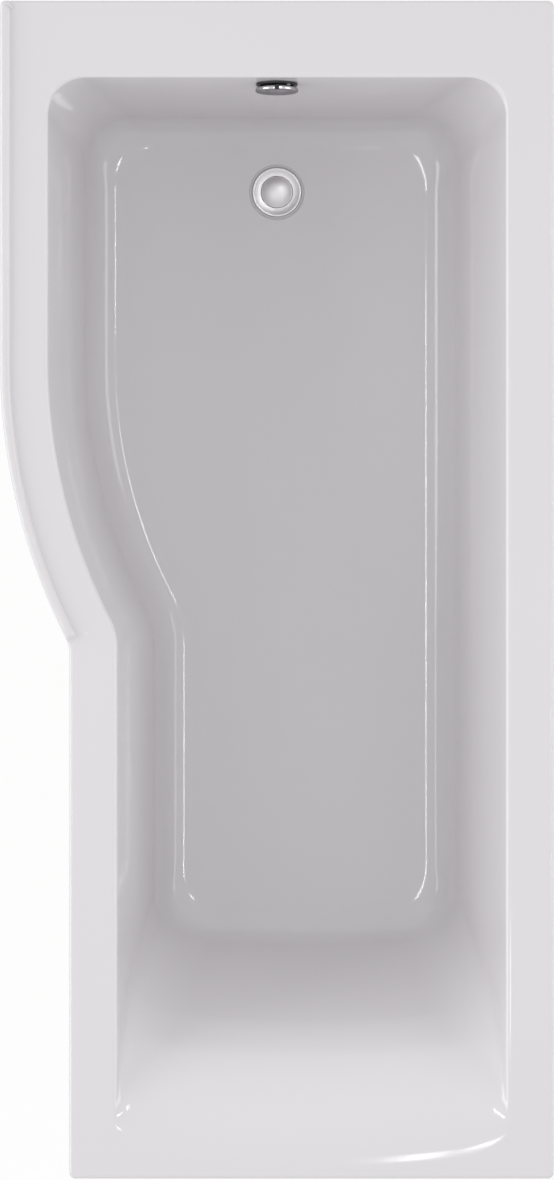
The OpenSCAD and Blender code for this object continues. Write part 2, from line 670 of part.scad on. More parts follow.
// ---- Waste ---------------------------------------------------------------------------------
plug_r = plug_d / 2;
mouth_r = plug_r + 0.8;
stem_r = 4;
guide_h = 8;
guide_z = flange_z - 20;
tube_bottom = chamber_top;
lever_arm = chamber_r - 5;
shaft_r = 2.5;
shaft_y = -lever_arm;
shaft_z = chamber_bottom + 16;
nose_r = 3;
lever_swing = 2 * asin(plug_lift / 2 / lever_arm);
nose_z = shaft_z - plug_lift / 2;
lever_w = 8;
stem_bottom = nose_z + nose_r + seat_gap;
plug_base_z = flange_z + 0.6;
plug_edge_t = 2;
mouth_depth = 4;
seal_depth = 2;
tip_r = 1.5;
tip_z = shaft_z - 10;
lever_tail_t = 4;
port_z = (chamber_top + chamber_bottom) / 2;
port_r = 14;
port_bore_r = 11.5;
port_len = 24;
gland_len = 26;

// The chromed flange: a dished ring, its mouth, and a threaded tube with a cross and a guide
module waste_flange() {
    r = flange_d / 2;
    color(chrome_tone) at_waste() {
        rotate_extrude() polygon([
            [r - 1, flange_z], [r, flange_z + 0.8], [r - 0.6, flange_z + flange_t - 0.6],
            [r - 2.4, flange_z + flange_t], [mouth_r + 1.2, flange_z + 1.2], [mouth_r, flange_z],
            [tube_bore_r, flange_z - mouth_depth], [tube_bore_r, tube_bottom], [tail_r - slip, tube_bottom],
            [tail_r - slip, flange_z]]);
        difference() {
            union() {
                translate([0, 0, guide_z]) cylinder(r = stem_r + 3, h = guide_h);
                for (a = [45, 135]) rotate([0, 0, a])
                    translate([-tube_bore_r - 0.5, -1.5, guide_z]) cube([2 * tube_bore_r + 1, 3, guide_h - 2]);
            }
            translate([0, 0, guide_z - 1]) cylinder(r = stem_r + slip, h = guide_h + 2);
        }
    }
}
module washer(z, h, r_in, r_out) {
    translate([0, 0, z]) difference() {
        cylinder(r = r_out, h = h);
        translate([0, 0, -1]) cylinder(r = r_in, h = h + 2);
    }
}
module flange_seal() {
    color(black_tone) at_waste()
        washer(flange_z - flange_seal_t, flange_seal_t, tail_r + fit_gap, flange_d / 2 - 3);
}
module waste_seal() {
    color(black_tone) at_waste() washer(body_top, seal_t, tail_r + fit_gap, body_r + 5);
}
// The moulded body: flange, chamber, threaded tail, hose port and the lever shaft's bosses
module waste_body() {
    boss_len = 2 * chamber_r;
    color(plastic_tone) at_waste() difference() {
        union() {
            translate([0, 0, body_top - 4]) cylinder(r = body_r + 7, h = 4);
            translate([0, 0, body_bottom]) cylinder(r = body_r, h = body_depth);
            translate([0, 0, body_bottom - tail_length]) cylinder(r = tail_r, h = tail_length + 1);
            translate([0, 0, port_z]) rotate([-90, 0, 0]) cylinder(r = port_r, h = body_r + port_len);
            translate([-boss_len / 2, shaft_y, shaft_z]) rotate([0, 90, 0]) cylinder(r = 6, h = boss_len);
            translate([0, -body_r - 6, tip_z]) rotate([-90, 0, 0]) cylinder(r = 7, h = 12);
        }
        translate([0, 0, chamber_bottom]) cylinder(r = chamber_r, h = chamber_top - chamber_bottom);
        translate([0, 0, chamber_top - 1]) cylinder(r = tail_r, h = neck_h + 2);
        translate([0, 0, body_bottom - tail_length - 1]) cylinder(r = tail_bore_r, h = tail_length + body_wall + 2);
        translate([0, 0, port_z]) rotate([-90, 0, 0]) cylinder(r = port_bore_r, h = body_r + port_len + 1);
        translate([-chamber_r + 3, shaft_y, shaft_z]) rotate([0, 90, 0])
            cylinder(r = shaft_r + slip, h = 2 * chamber_r - 6);
        translate([0, -body_r - 7, tip_z]) rotate([-90, 0, 0]) cylinder(r = cable_d / 2 + 2 + slip, h = 9);
        translate([0, -body_r - 7, tip_z]) rotate([-90, 0, 0]) cylinder(r = tip_r + fit_gap, h = 14);
    }
}
module plug_dome() {
    dome_r = (pow(plug_r, 2) + pow(plug_rise, 2)) / (2 * plug_rise);
    color(chrome_tone) at_waste() {
        translate([0, 0, plug_base_z]) cylinder(r = plug_r, h = plug_edge_t);
        intersection() {
            translate([0, 0, plug_base_z + plug_edge_t + plug_rise - dome_r]) sphere(dome_r, $fn = 96);
            translate([0, 0, plug_base_z + plug_edge_t - eps]) cylinder(r = plug_r, h = plug_rise + 1);
        }
    }
}
// Radius of the flange's conical mouth at a depth below its face
function mouth_at(depth) = mouth_r + (tube_bore_r - mouth_r) * depth / mouth_depth;
module plug_seal() {
    lip_z = flange_z - seal_depth;
    lip_r = mouth_at(seal_depth) - seat_gap;
    rim_r = plug_r - seat_gap;
    color(black_tone) at_waste() rotate_extrude() polygon([
        [stem_r + fit_gap, lip_z], [lip_r, lip_z],
        [rim_r, lip_z + (rim_r - lip_r) * mouth_depth / (mouth_r - tube_bore_r)],
        [rim_r, plug_base_z], [stem_r + fit_gap, plug_base_z]]);
}
module plug_stem() {
    color(brass_tone) at_waste() translate([0, 0, stem_bottom])
        cylinder(r = stem_r, h = plug_base_z - stem_bottom);
}
module lifter_lever() {
    color(plastic_tone) at_waste() difference() {
        union() {
            translate([-lever_w / 2, shaft_y, shaft_z]) rotate([0, 90, 0]) cylinder(r = shaft_r + 2, h = lever_w);
            translate([0, shaft_y, shaft_z]) rotate([-lever_swing / 2, 0, 0]) {
                translate([-lever_w / 2, 0, -2]) cube([lever_w, lever_arm, 4]);
                translate([-lever_w / 2, lever_arm, 0]) rotate([0, 90, 0]) cylinder(r = nose_r, h = lever_w);
            }
            translate([-lever_w / 2, shaft_y - lever_tail_t / 2, tip_z - 2.5])
                cube([lever_w, lever_tail_t, shaft_z - tip_z + 2.5]);
        }
        translate([-lever_w, shaft_y, shaft_z]) rotate([0, 90, 0]) cylinder(r = shaft_r + slip / 2, h = 2 * lever_w);
    }
}
module lifter_shaft() {
    color(steel_tone) at_waste() translate([-chamber_r + 3.5, shaft_y, shaft_z])
        rotate([0, 90, 0]) cylinder(r = shaft_r, h = 2 * chamber_r - 7);
}

// The sheath's end fitting, along +Y, screwed into the body's side
module gland(len) {
    difference() {
        union() {
            cylinder(r = cable_d / 2 + 2, h = len);
            cylinder(d = cable_d + 9, h = len * 0.4, $fn = 6);
        }
        translate([0, 0, -1]) cylinder(r = cable_d / 2 + slip, h = len * 0.55);
        translate([0, 0, -1]) cylinder(r = tip_r + slip, h = len + 2);
    }
}
gland_y = -body_r + 1.8 - gland_len;
module cable_gland_waste() {
    color(black_tone) at_waste() translate([0, gland_y, tip_z]) rotate([-90, 0, 0]) gland(gland_len);
}
tip_end = shaft_y - lever_tail_t / 2 - seat_gap;
tip_start = gland_y + gland_len * 0.6;
module cable_tip_waste() {
    color(steel_tone) at_waste() translate([0, tip_start, tip_z]) rotate([-90, 0, 0])
        cylinder(r = tip_r, h = tip_end - tip_start);
}

// ---- Overflow ----------------------------------------------------------------------------------
knob_r = knob_d / 2;
bezel_r = overflow_hole_d / 2 + 4;
bezel_t = 2.5;
knob_back = fit_gap + bezel_t + knob_gap - 1.2;
spindle_r = 4;
elbow_flange_r = overflow_hole_d / 2 + 9;
elbow_front = -acrylic_t - seal_t;
cup_r = overflow_hole_d / 2 + 5;
cup_bore_r = cup_r - 3;
cup_back = elbow_front - 42;
cam_u = -32;
cam_t = 6;
cam_r = 10;
cam_rise = 3.4;
spigot_u = cam_u + 1;
spigot_at = overflow_point(spigot_u);
spigot_bottom = spigot_at[2] - cup_r - 26;
screw_at = 20.5;
screw_angles = [35, 215];

// A chromed disc with a crowned face and a notch in its top
module overflow_knob() {
    crown = 0.8;
    notch_w = 6.2;
    notch_d = 4;
    color(chrome_tone) at_overflow() difference() {
        union() {
            rotate_extrude() polygon([
                [0, knob_back], [knob_r - 2.5, knob_back], [knob_r - 0.6, knob_back + 1.2],
                [knob_r, knob_back + 2.4], [knob_r, knob_back + knob_t - 1.2],
                [knob_r - 0.5, knob_back + knob_t - 0.3], [knob_r - 1.5, knob_back + knob_t],
                [knob_r * 0.55, knob_back + knob_t + crown * 0.75], [0, knob_back + knob_t + crown]]);
            translate([0, 0, fit_gap + bezel_t + 0.4]) cylinder(r = spindle_r + 4, h = knob_back - bezel_t);
        }
        translate([0, 0, fit_gap]) cylinder(r = spindle_r + slip / 2, h = knob_back + 3 - fit_gap);
        translate([-notch_w / 2, knob_r - notch_d, knob_back - 1]) cube([notch_w, notch_d * 2, knob_t + crown + 2]);
        translate([0, 0, grub_u]) rotate([-90, 0, 0]) cylinder(r = 1.6, h = knob_r + 1);
    }
}
grub_u = knob_back - 2.1;
module knob_grub_screw() {
    color(steel_tone) at_overflow() translate([0, spindle_r + slip, grub_u]) rotate([-90, 0, 0])
        cylinder(r = 1.5, h = 4);
}
module knob_spindle() {
    color(brass_tone) at_overflow() translate([0, 0, cup_back + 1.3])
        cylinder(r = spindle_r, h = knob_back + 2.5 - cup_back - 1.3);
}
// A plate whose edge rises evenly with the turn, so that the cable moves in step with the knob
module spindle_cam() {
    turns = 40;
    color(plastic_tone) at_overflow() translate([0, 0, cam_u - cam_t / 2]) difference() {
        linear_extrude(cam_t) polygon([for (i = [0 : turns - 1])
            let (a = i * 360 / turns, r = cam_r + cam_rise * max(0, 1 - abs(a - 270) / 90))
            r * [cos(a), sin(a)]]);
        translate([0, 0, -1]) cylinder(r = spindle_r + slip / 2, h = cam_t + 2);
    }
}
// The plate behind the knob: a ring, four spokes and the spindle's bearing
module overflow_bezel() {
    color(black_tone) at_overflow() translate([0, 0, fit_gap]) difference() {
        union() {
            difference() {
                cylinder(r = bezel_r, h = bezel_t);
                translate([0, 0, -1]) cylinder(r = bezel_r - 6, h = bezel_t + 2);
            }
            translate([0, 0, -8]) cylinder(r = spindle_r + 3, h = 8 + bezel_t);
            for (a = screw_angles) rotate([0, 0, a]) translate([0, -3.5, 0]) cube([bezel_r - 3, 7, bezel_t]);
            for (a = screw_angles) rotate([0, 0, a + 90]) translate([0, -2, 0]) cube([bezel_r - 3, 4, bezel_t]);
        }
        translate([0, 0, -9]) cylinder(r = spindle_r + slip, h = 12 + bezel_t);
        for (a = screw_angles) rotate([0, 0, a]) translate([screw_at, 0, -1])
            cylinder(r = screw_r + fit_gap, h = bezel_t + 2);
    }
}
module bezel_screws() {
    color(steel_tone) at_overflow() for (a = screw_angles) rotate([0, 0, a]) translate([screw_at, 0, 0]) {
        translate([0, 0, fit_gap + bezel_t]) cylinder(r = 3, h = 2);
        translate([0, 0, -24]) cylinder(r = screw_r, h = 24 + fit_gap + bezel_t + eps);
    }
}
module overflow_seal() {
    color(black_tone) at_overflow() washer(elbow_front, seal_t, overflow_hole_d / 2 + 1, elbow_flange_r - 1);
}
// The moulded cup behind the wall, with its spout down to the hose
module overflow_elbow() {
    color(plastic_tone) difference() {
        union() {
            at_overflow() {
                translate([0, 0, elbow_front - 4]) cylinder(r = elbow_flange_r, h = 4);
                translate([0, 0, cup_back]) cylinder(r = cup_r, h = elbow_front - cup_back);
                translate([0, 0, cam_u]) rotate([0, 90, 0]) cylinder(r = 7, h = cup_r + 6);
            }
            translate([waste_x, spigot_at[1], spigot_bottom]) cylinder(r = port_r, h = spigot_at[2] - spigot_bottom);
        }
        at_overflow() {
            difference() {
                translate([0, 0, cup_back + 3]) cylinder(r = cup_bore_r, h = elbow_front - cup_back);
                for (a = screw_angles) rotate([0, 0, a]) translate([screw_at, 0, cup_back])
                    cylinder(r = 4.2, h = -6 - acrylic_t - cup_back);
            }
            translate([0, 0, cup_back + 1]) cylinder(r = spindle_r + slip, h = 10);
            for (a = screw_angles) rotate([0, 0, a]) translate([screw_at, 0, -26]) cylinder(r = screw_r + slip, h = 40);
            translate([gland_seat, 0, cam_u]) rotate([0, 90, 0]) cylinder(r = cable_d / 2 + 2 + slip, h = 20);
            translate([cup_bore_r - 4, 0, cam_u]) rotate([0, 90, 0]) cylinder(r = tip_r + fit_gap, h = 20);
        }
        translate([waste_x, spigot_at[1], spigot_bottom - 1])
            cylinder(r = port_bore_r, h = spigot_at[2] - spigot_bottom + 1);
    }
}
gland_seat = cup_r - 2;
gland_x = gland_seat + fit_gap + gland_len;
module cable_gland_overflow() {
    color(black_tone) at_overflow() translate([gland_x, 0, cam_u]) rotate([0, -90, 0]) gland(gland_len);
}
module cable_tip_overflow() {
    inner = cam_r + 1.5 * seat_gap;
    outer = gland_x - gland_len * 0.75;
    color(steel_tone) at_overflow() translate([inner, 0, cam_u]) rotate([0, 90, 0])
        cylinder(r = tip_r, h = outer - inner);
}

// ---- Hose from the overflow to the waste -------------------------------------------------------------
hose_bore = port_r + fit_gap;
hose_core_r = hose_r - 2.6;
hose_cuff_r = hose_bore + 2.2;
hose_x = waste_x;
hose_y = spigot_at[1];
hose_top = spigot_bottom + 20;
hose_turn_z = port_z + hose_bend_r;
hose_turn_y = hose_y - hose_bend_r;
hose_end_y = waste_y + body_r + port_len - 20;
cuff = 22;
rib_w = 3.4;

// A straight length of hose from its lower end, with a smooth cuff at the far end
module straight_hose(len) {
    ribs = max(0, floor((len - cuff) / hose_rib_pitch));
    rotate_extrude() polygon(concat(
        [[hose_bore, 0], [hose_core_r, 0]],
        [for (i = [0 : ribs - 1], p = [[0, 0.8], [1, 1.6], [1, rib_w], [0, rib_w + 0.8]])
            [p[0] == 0 ? hose_core_r : hose_r, i * hose_rib_pitch + p[1]]],
        [[hose_core_r, len - cuff], [hose_cuff_r, len - cuff + 1], [hose_cuff_r, len], [hose_bore, len]]));
}
module overflow_hose() {
    bend_ribs = floor(hose_bend_r * PI / 2 / hose_rib_pitch);
    color(plastic_tone) translate([hose_x, 0, 0]) {
        translate([0, hose_y, hose_turn_z]) straight_hose(hose_top - hose_turn_z);
        translate([0, hose_turn_y, port_z]) rotate([90, 0, 0]) straight_hose(hose_turn_y - hose_end_y);
        translate([0, hose_turn_y, hose_turn_z]) rotate([0, 90, 0]) difference() {
            union() {
                rotate_extrude(angle = 90) translate([hose_bend_r, 0]) circle(hose_core_r);
                for (i = [0 : bend_ribs - 1]) rotate([0, 0, 90 * (i + 0.5) / bend_ribs])
                    translate([hose_bend_r, -rib_w / 2, 0]) rotate([-90, 0, 0]) cylinder(r = hose_r, h = rib_w);
            }
            rotate_extrude(angle = 90) translate([hose_bend_r, 0]) circle(hose_bore);
        }
    }
}
module union_nut(flutes) {
    difference() {
        union() {
            cylinder(r = hose_cuff_r + 3.4, h = 16);
            for (i = [0 : flutes - 1]) rotate([0, 0, i * 360 / flutes])
                translate([hose_cuff_r + 2.4, -1.5, 0]) cube([2.4, 3, 16]);
        }
        translate([0, 0, -1]) cylinder(r = hose_cuff_r + fit_gap, h = 18);
    }
}
module hose_nut_top() {
    color(plastic_tone) translate([hose_x, hose_y, hose_top - 18]) union_nut(10);
}
module hose_nut_bottom() {
    color(plastic_tone) translate([hose_x, hose_end_y + 18, port_z]) rotate([90, 0, 0]) union_nut(10);
}

// ---- Control cable ---------------------------------------------------------------------------------------
cable_from = overflow_at + [gland_x - gland_len * 0.5, 0, 0] + wall_out * cam_u;
cable_to = [waste_x, waste_y + gland_y + gland_len * 0.5, tip_z];
cable_reach = 60;   // straight run at each end before the first bend
cable_side = 82;    // how far the cable keeps to the side of the hose
cable_low = tip_z + 4;
cable_corners = [
    cable_from,
    [cable_from[0] + cable_reach, cable_from[1], cable_from[2]],
    [cable_from[0] + cable_reach, cable_from[1], cable_low + 10],
    [waste_x + cable_side, waste_y + 60, cable_low],
    [waste_x + cable_side, cable_to[1] - cable_reach - 10, cable_low],
    [waste_x, cable_to[1] - cable_reach - 10, tip_z],
    cable_to];
cable_bend = 36;
cable_sides = 10;
function unit(v) = v / norm(v);
// Each inner corner becomes a smooth curve that starts and ends cable_bend away from it
function corner_curve(a, b, c) =
    let (p = b + unit(a - b) * cable_bend, q = b + unit(c - b) * cable_bend)
    [for (i = [0 : 7]) let (s = i / 7) p * pow(1 - s, 2) + b * 2 * s * (1 - s) + q * s * s];
cable_path = concat(
    [cable_corners[0]],
    [for (i = [1 : len(cable_corners) - 2])
        each corner_curve(cable_corners[i - 1], cable_corners[i], cable_corners[i + 1])],
    [cable_corners[len(cable_corners) - 1]]);
function tangent(path, i) = unit(path[min(i + 1, len(path) - 1)] - path[max(i - 1, 0)]);
function square_to(v, t) = unit(v - (v * t) * t);
module tube_along(path, r, sides) {
    n = len(path);
    frames = [for (i = 0, v = square_to([0, 0, 1], tangent(path, 0)); i < n;
        i = i + 1, v = i < n ? square_to(v, tangent(path, i)) : v) v];
    points = [for (i = [0 : n - 1]) let (t = tangent(path, i), u = frames[i], w = cross(t, u))
        for (k = [0 : sides - 1]) let (a = 360 * k / sides) path[i] + r * (cos(a) * u + sin(a) * w)];
    faces = concat(
        [[for (k = [0 : sides - 1]) k]],
        [for (i = [0 : n - 2]) for (k = [0 : sides - 1]) for (half = [0, 1])
            let (a = i * sides, b = a + sides, l = (k + 1) % sides)
            half == 0 ? [a + k, b + k, a + l] : [a + l, b + k, b + l]],
        [[for (k = [sides - 1 : -1 : 0]) (n - 1) * sides + k]]);
    polyhedron(points, faces, convexity = 10);
}
module cable_sheath() { color(black_tone) tube_along(cable_path, cable_d / 2, cable_sides); }

tub_shell();
glass_laminate();
base_board();
batten_wall_side();
batten_tap_end();
batten_head_end();
batten_front_wide();
batten_front_bow();
batten_front_narrow();
leg_bar_head();
leg_bar_tap();
centre_foot_bracket();
leg_screws();
foot_pad_1();
foot_pad_2();
foot_pad_3();
foot_pad_4();
foot_pad_5();
foot_stud_1();
foot_stud_2();
foot_stud_3();
foot_stud_4();
foot_stud_5();
foot_nuts_1();
foot_nuts_2();
foot_nuts_3();
foot_nuts_4();
foot_nuts_5();
wall_bracket_head();
wall_bracket_tap();
bracket_screws();
waste_flange();
flange_seal();
waste_seal();
waste_body();
plug_dome();
plug_seal();
plug_stem();
lifter_lever();
lifter_shaft();
cable_gland_waste();
cable_tip_waste();
overflow_knob();
knob_grub_screw();
knob_spindle();
spindle_cam();
overflow_bezel();
bezel_screws();
overflow_seal();
overflow_elbow();
cable_gland_overflow();
cable_tip_overflow();
cable_sheath();
overflow_hose();
hose_nut_top();
hose_nut_bottom();
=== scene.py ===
"""P-shaped shower bath: an acrylic tub on a timber frame and a steel leg set, with a turn-knob pop-up waste.

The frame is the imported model. This script dresses it: a fine tub, its laminate, spun fittings, the ribbed
hose, bevelled timber, threaded feet and the finishes, seen from straight above on a plain pale floor.
All lengths are in metres. +Y points to the waste end, +X to the wall side, +Z up.
"""

import json
import math
from collections import namedtuple

import bmesh
import bpy
from bpy.props import FloatProperty, FloatVectorProperty, IntProperty, PointerProperty
from mathutils import Matrix, Vector, noise

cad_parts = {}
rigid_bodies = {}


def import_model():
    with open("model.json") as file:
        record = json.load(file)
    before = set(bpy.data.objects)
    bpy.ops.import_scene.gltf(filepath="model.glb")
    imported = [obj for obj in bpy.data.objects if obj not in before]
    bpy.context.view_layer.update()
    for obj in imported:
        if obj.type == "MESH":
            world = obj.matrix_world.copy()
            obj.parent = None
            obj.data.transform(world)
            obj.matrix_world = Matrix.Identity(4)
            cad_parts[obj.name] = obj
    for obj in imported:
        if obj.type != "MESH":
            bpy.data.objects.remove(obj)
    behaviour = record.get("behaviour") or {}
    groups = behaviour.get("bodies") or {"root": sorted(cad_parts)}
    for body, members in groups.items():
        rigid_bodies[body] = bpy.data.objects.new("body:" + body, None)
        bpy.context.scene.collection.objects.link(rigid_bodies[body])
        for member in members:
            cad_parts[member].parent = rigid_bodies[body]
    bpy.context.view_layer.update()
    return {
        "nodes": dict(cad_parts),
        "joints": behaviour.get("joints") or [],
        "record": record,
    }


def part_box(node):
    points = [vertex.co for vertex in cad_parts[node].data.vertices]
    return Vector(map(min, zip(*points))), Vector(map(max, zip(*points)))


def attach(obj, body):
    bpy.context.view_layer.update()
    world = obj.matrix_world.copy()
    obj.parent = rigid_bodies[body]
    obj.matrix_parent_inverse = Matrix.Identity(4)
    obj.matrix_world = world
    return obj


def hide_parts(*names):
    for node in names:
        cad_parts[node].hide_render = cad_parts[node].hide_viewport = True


bl_info = {
    "name": "P-shaped shower bath",
    "version": (1, 0, 0),
    "blender": (4, 5, 0),
    "location": "View3D > Sidebar > Bath",
    "description": "Dresses the packed frame of a P-shaped shower bath",
    "category": "Object",
}

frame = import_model()
tub_low, tub_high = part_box("tub_shell")
flange_low, flange_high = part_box("waste_flange")
knob_low, knob_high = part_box("overflow_knob")


# ---- Sizes and colours ---------------------------------------------------------------------------
def length(name, description, default):
    return FloatProperty(
        name=name, description=description, default=default, min=0, unit="LENGTH", precision=4
    )


def turn(name, description, degrees):
    return FloatProperty(name=name, description=description, default=math.radians(degrees), subtype="ANGLE")


def tone(name, description, default):
    return FloatVectorProperty(
        name=name, description=description, default=default, min=0, max=1, size=3, subtype="COLOR"
    )


class TubSizes(bpy.types.PropertyGroup):
    """The tub's outline, rim and well"""

    length: length("Length", "Overall length of the bath", tub_high.y - tub_low.y)
    width: length("Width", "Width at the shower end", tub_high.x - tub_low.x)
    narrow: length("Narrow width", "Width at the head end", 0.7)
    corner: length("Corner radius", "Plan radius of the outer corners", 0.009)
    bow_start: length("Bow start", "Distance from the waste end to the outer bow", 0.522)
    bow: length("Bow radius", "Radius of the outer bow", 0.88)
    neck: length("Neck radius", "Radius that turns the outer bow into the narrow side", 0.055)
    rim_height: length("Rim height", "Height of the flat rim above the floor", 0.56)
    rim_side: length("Side rim", "Width of the rim along both sides", 0.064)
    rim_deck: length("Deck", "Depth of the deck at the waste end", 0.105)
    rim_head: length("Head rim", "Flat left at the head end", 0.012)
    apron: length("Apron", "Height of the turned-down edge", 0.035)
    edge: length("Edge rounding", "Rounding of the rim's outer edge", 0.005)
    lip: length("Lip height", "Height of the water-retaining lip", 0.01)
    lip_width: length("Lip width", "Width of the water-retaining lip", 0.014)
    cove: length("Cove", "Height of the foot of the lip's inner slope", 0.003)
    depth: length("Depth", "Depth of the well at the waste", 0.41)
    fall: length("Fall", "Fall of the floor from head end to waste", 0.008)
    well_bow_start: length("Well's bow start", "Distance from the waste end to the well's bow", 0.518)
    well_bow: length("Well's bow radius", "Radius of the well's bow at the rim", 0.83)
    well_neck: length("Well's neck radius", "Radius that turns the well's bow into its narrow side", 0.075)
    tap_corner: length("Waste-end corners", "Plan radius of the well's corners at the waste end", 0.054)
    head_corner: length("Head-end corners", "Plan radius of the well's corners at the head end", 0.07)
    corner_gain: length("Corner gain", "Radius that a well corner gains on its way down", 0.014)
    arch: length("Backrest arch", "Radius in plan of the arched backrest", 1.66)
    steep_left: turn("Left wall", "Steepness of the wall on the shower side", 82)
    steep_right: turn("Right wall", "Steepness of the long wall side's wall", 79.5)
    steep_tap: turn("Waste-end wall", "Steepness of the wall at the waste end", 82)
    steep_head: turn("Backrest", "Steepness of the backrest", 66)
    roll: length("Roll", "Radius over which rim turns into wall", 0.006)
    back_roll: length("Backrest's roll", "Radius over which the backrest rolls into the rim", 0.235)
    floor_round: length("Floor radius", "Radius between walls and floor", 0.055)
    back_floor: length("Backrest's foot", "Radius between backrest and floor", 0.056)
    acrylic: length("Acrylic", "Thickness of the acrylic sheet", 0.005)
    laminate: length("Laminate", "Thickness of the glass-fibre laminate", 0.003)
    seat: length("Resin line", "Resin between the acrylic and the laminate", 0.0003)


class FittingSizes(bpy.types.PropertyGroup):
    """The waste, the overflow, the hose and the leg set"""

    waste_y: length("Waste", "Distance of the waste from the middle", (flange_low.y + flange_high.y) / 2)
    flange: length("Flange", "Diameter of the waste's flange", flange_high.x - flange_low.x)
    flange_z: length("Flange seat", "Height of the flange's underside", flange_high.z - 0.003)
    plug: length("Plug", "Diameter of the plug's dome", 0.0455)
    plug_rise: length("Dome rise", "Rise of the plug's dome", 0.006)
    tail: length("Tail", "Outside diameter of the threaded tail", 0.0478)
    knob: length("Knob", "Diameter of the overflow's knob", knob_high.x - knob_low.x)
    knob_edge: length("Knob edge", "Thickness of the knob at its edge", 0.006)
    knob_crown: length("Knob crown", "Rise of the knob's face above its edge", 0.0008)
    overflow_drop: length("Overflow", "Depth of the overflow's centre below the rim", 0.058)
    overflow_hole: length("Overflow hole", "Diameter of the hole for the overflow", 0.052)
    hose: length("Hose", "Radius of the hose over its ribs", 0.018)
    hose_bend: length("Hose bend", "Radius of the hose's bend", 0.07)
    hose_ribs: IntProperty(name="Ribs", description="Ribs along the hose", default=60, min=10, max=90)
    cable: length("Cable", "Diameter of the control cable's sheath", 0.005)
    stud: length("Stud", "Diameter of a foot's threaded stud", 0.01)
    thread: length("Thread pitch", "Rise of the stud's thread in one turn", 0.0015)
    nut: length("Nut height", "Height of one foot nut", 0.008)
    batten: length("Batten", "Width of a timber batten", 0.042)


class Finishes(bpy.types.PropertyGroup):
    """Colours of the finishes"""

    acrylic: tone("Acrylic", "Gloss white acrylic", (0.69, 0.67, 0.688))
    laminate: tone("Laminate", "Glass fibre in polyester resin", (0.62, 0.63, 0.52))
    chipboard: tone("Chipboard", "Pressed wood chips", (0.50, 0.34, 0.18))
    timber: tone("Timber", "Planed softwood", (0.66, 0.44, 0.23))
    zinc: tone("Zinc", "Galvanised sheet", (0.52, 0.54, 0.56))
    bright: tone("Bright steel", "Plated threads and screws", (0.62, 0.62, 0.62))
    black: tone("Black plastic", "Moulded black plastic", (0.018, 0.018, 0.02))
    chrome: tone("Chrome", "Chromed brass", (0.58, 0.565, 0.585))
    brass: tone("Brass", "Turned brass", (0.72, 0.53, 0.25))
    rubber: tone("Rubber", "Sealing rubber", (0.02, 0.02, 0.02))
    white: tone("White plastic", "Moulded white plastic", (0.78, 0.78, 0.75))
    grey: tone("Grey plastic", "Ribbed hose", (0.42, 0.43, 0.44))


def tub():
    return bpy.context.scene.bath_tub


def fittings():
    return bpy.context.scene.bath_fittings


def colours():
    return bpy.context.scene.bath_finishes


# ---- The tub's surface ---------------------------------------------------------------------------
# Counts round a ring and down the wall; every other number comes from the sizes.
ROUND = {"side": 10, "corner": 20, "end": 12, "lip_end": 40, "left": 4, "bow": 40, "neck": 14, "narrow": 6}
DOWN = {"roll": 8, "back": 20, "flat": 8, "foot": 20}
LEFT, RIGHT, TAP, HEAD = range(4)
Outline = namedtuple("Outline", "left narrow right tap head bow_start bow neck tap_corner head_corner arch")
LIP_END = 0.055  # stretch of the waste end's edge that meets the lip's section
LIP_RUN_OUT = 0.4  # share of the neck over which the lip dies out
LIP_FOOT = 0.0015  # the lip's foot, past its width


def ease(share):
    return share * share * (3 - 2 * share)


def sag(radius, tilt):
    """How far a round of that radius drops by the time that it is tilted so far"""
    return radius * (1 - math.cos(tilt))


def ring_shares():
    """How much each wall has of every point round a ring, and how much lip stands there: None where the lip
    runs square across the rings, out to the waste end's edge"""
    shares, lip = [], []

    def run(count, before, after, rise=0.0):
        for i in range(count):
            s = ease(i / count)
            shares.append([(1 - s) * (k == before) + s * (k == after) for k in range(4)])
            lip.append(rise(i / count) if callable(rise) else rise)

    run(ROUND["side"], RIGHT, RIGHT)
    run(ROUND["corner"], RIGHT, TAP)
    run(ROUND["end"], TAP, TAP)
    run(ROUND["lip_end"], TAP, TAP, None)
    run(ROUND["corner"], TAP, LEFT, None)
    run(ROUND["left"] + ROUND["bow"], LEFT, LEFT, 1.0)
    run(ROUND["neck"], LEFT, LEFT, lambda s: 1 - ease(min(1, s / LIP_RUN_OUT)))
    run(ROUND["narrow"], LEFT, LEFT)
    run(ROUND["corner"], LEFT, HEAD)
    run(ROUND["end"], HEAD, HEAD)
    run(ROUND["corner"], HEAD, RIGHT)
    return shares, lip


SHARES, LIP = ring_shares()


def neck_y(o):
    """Where the neck runs into the narrow side"""
    return o.bow_start - math.sqrt((o.bow + o.neck) ** 2 - (o.narrow - o.neck - o.left - o.bow) ** 2)


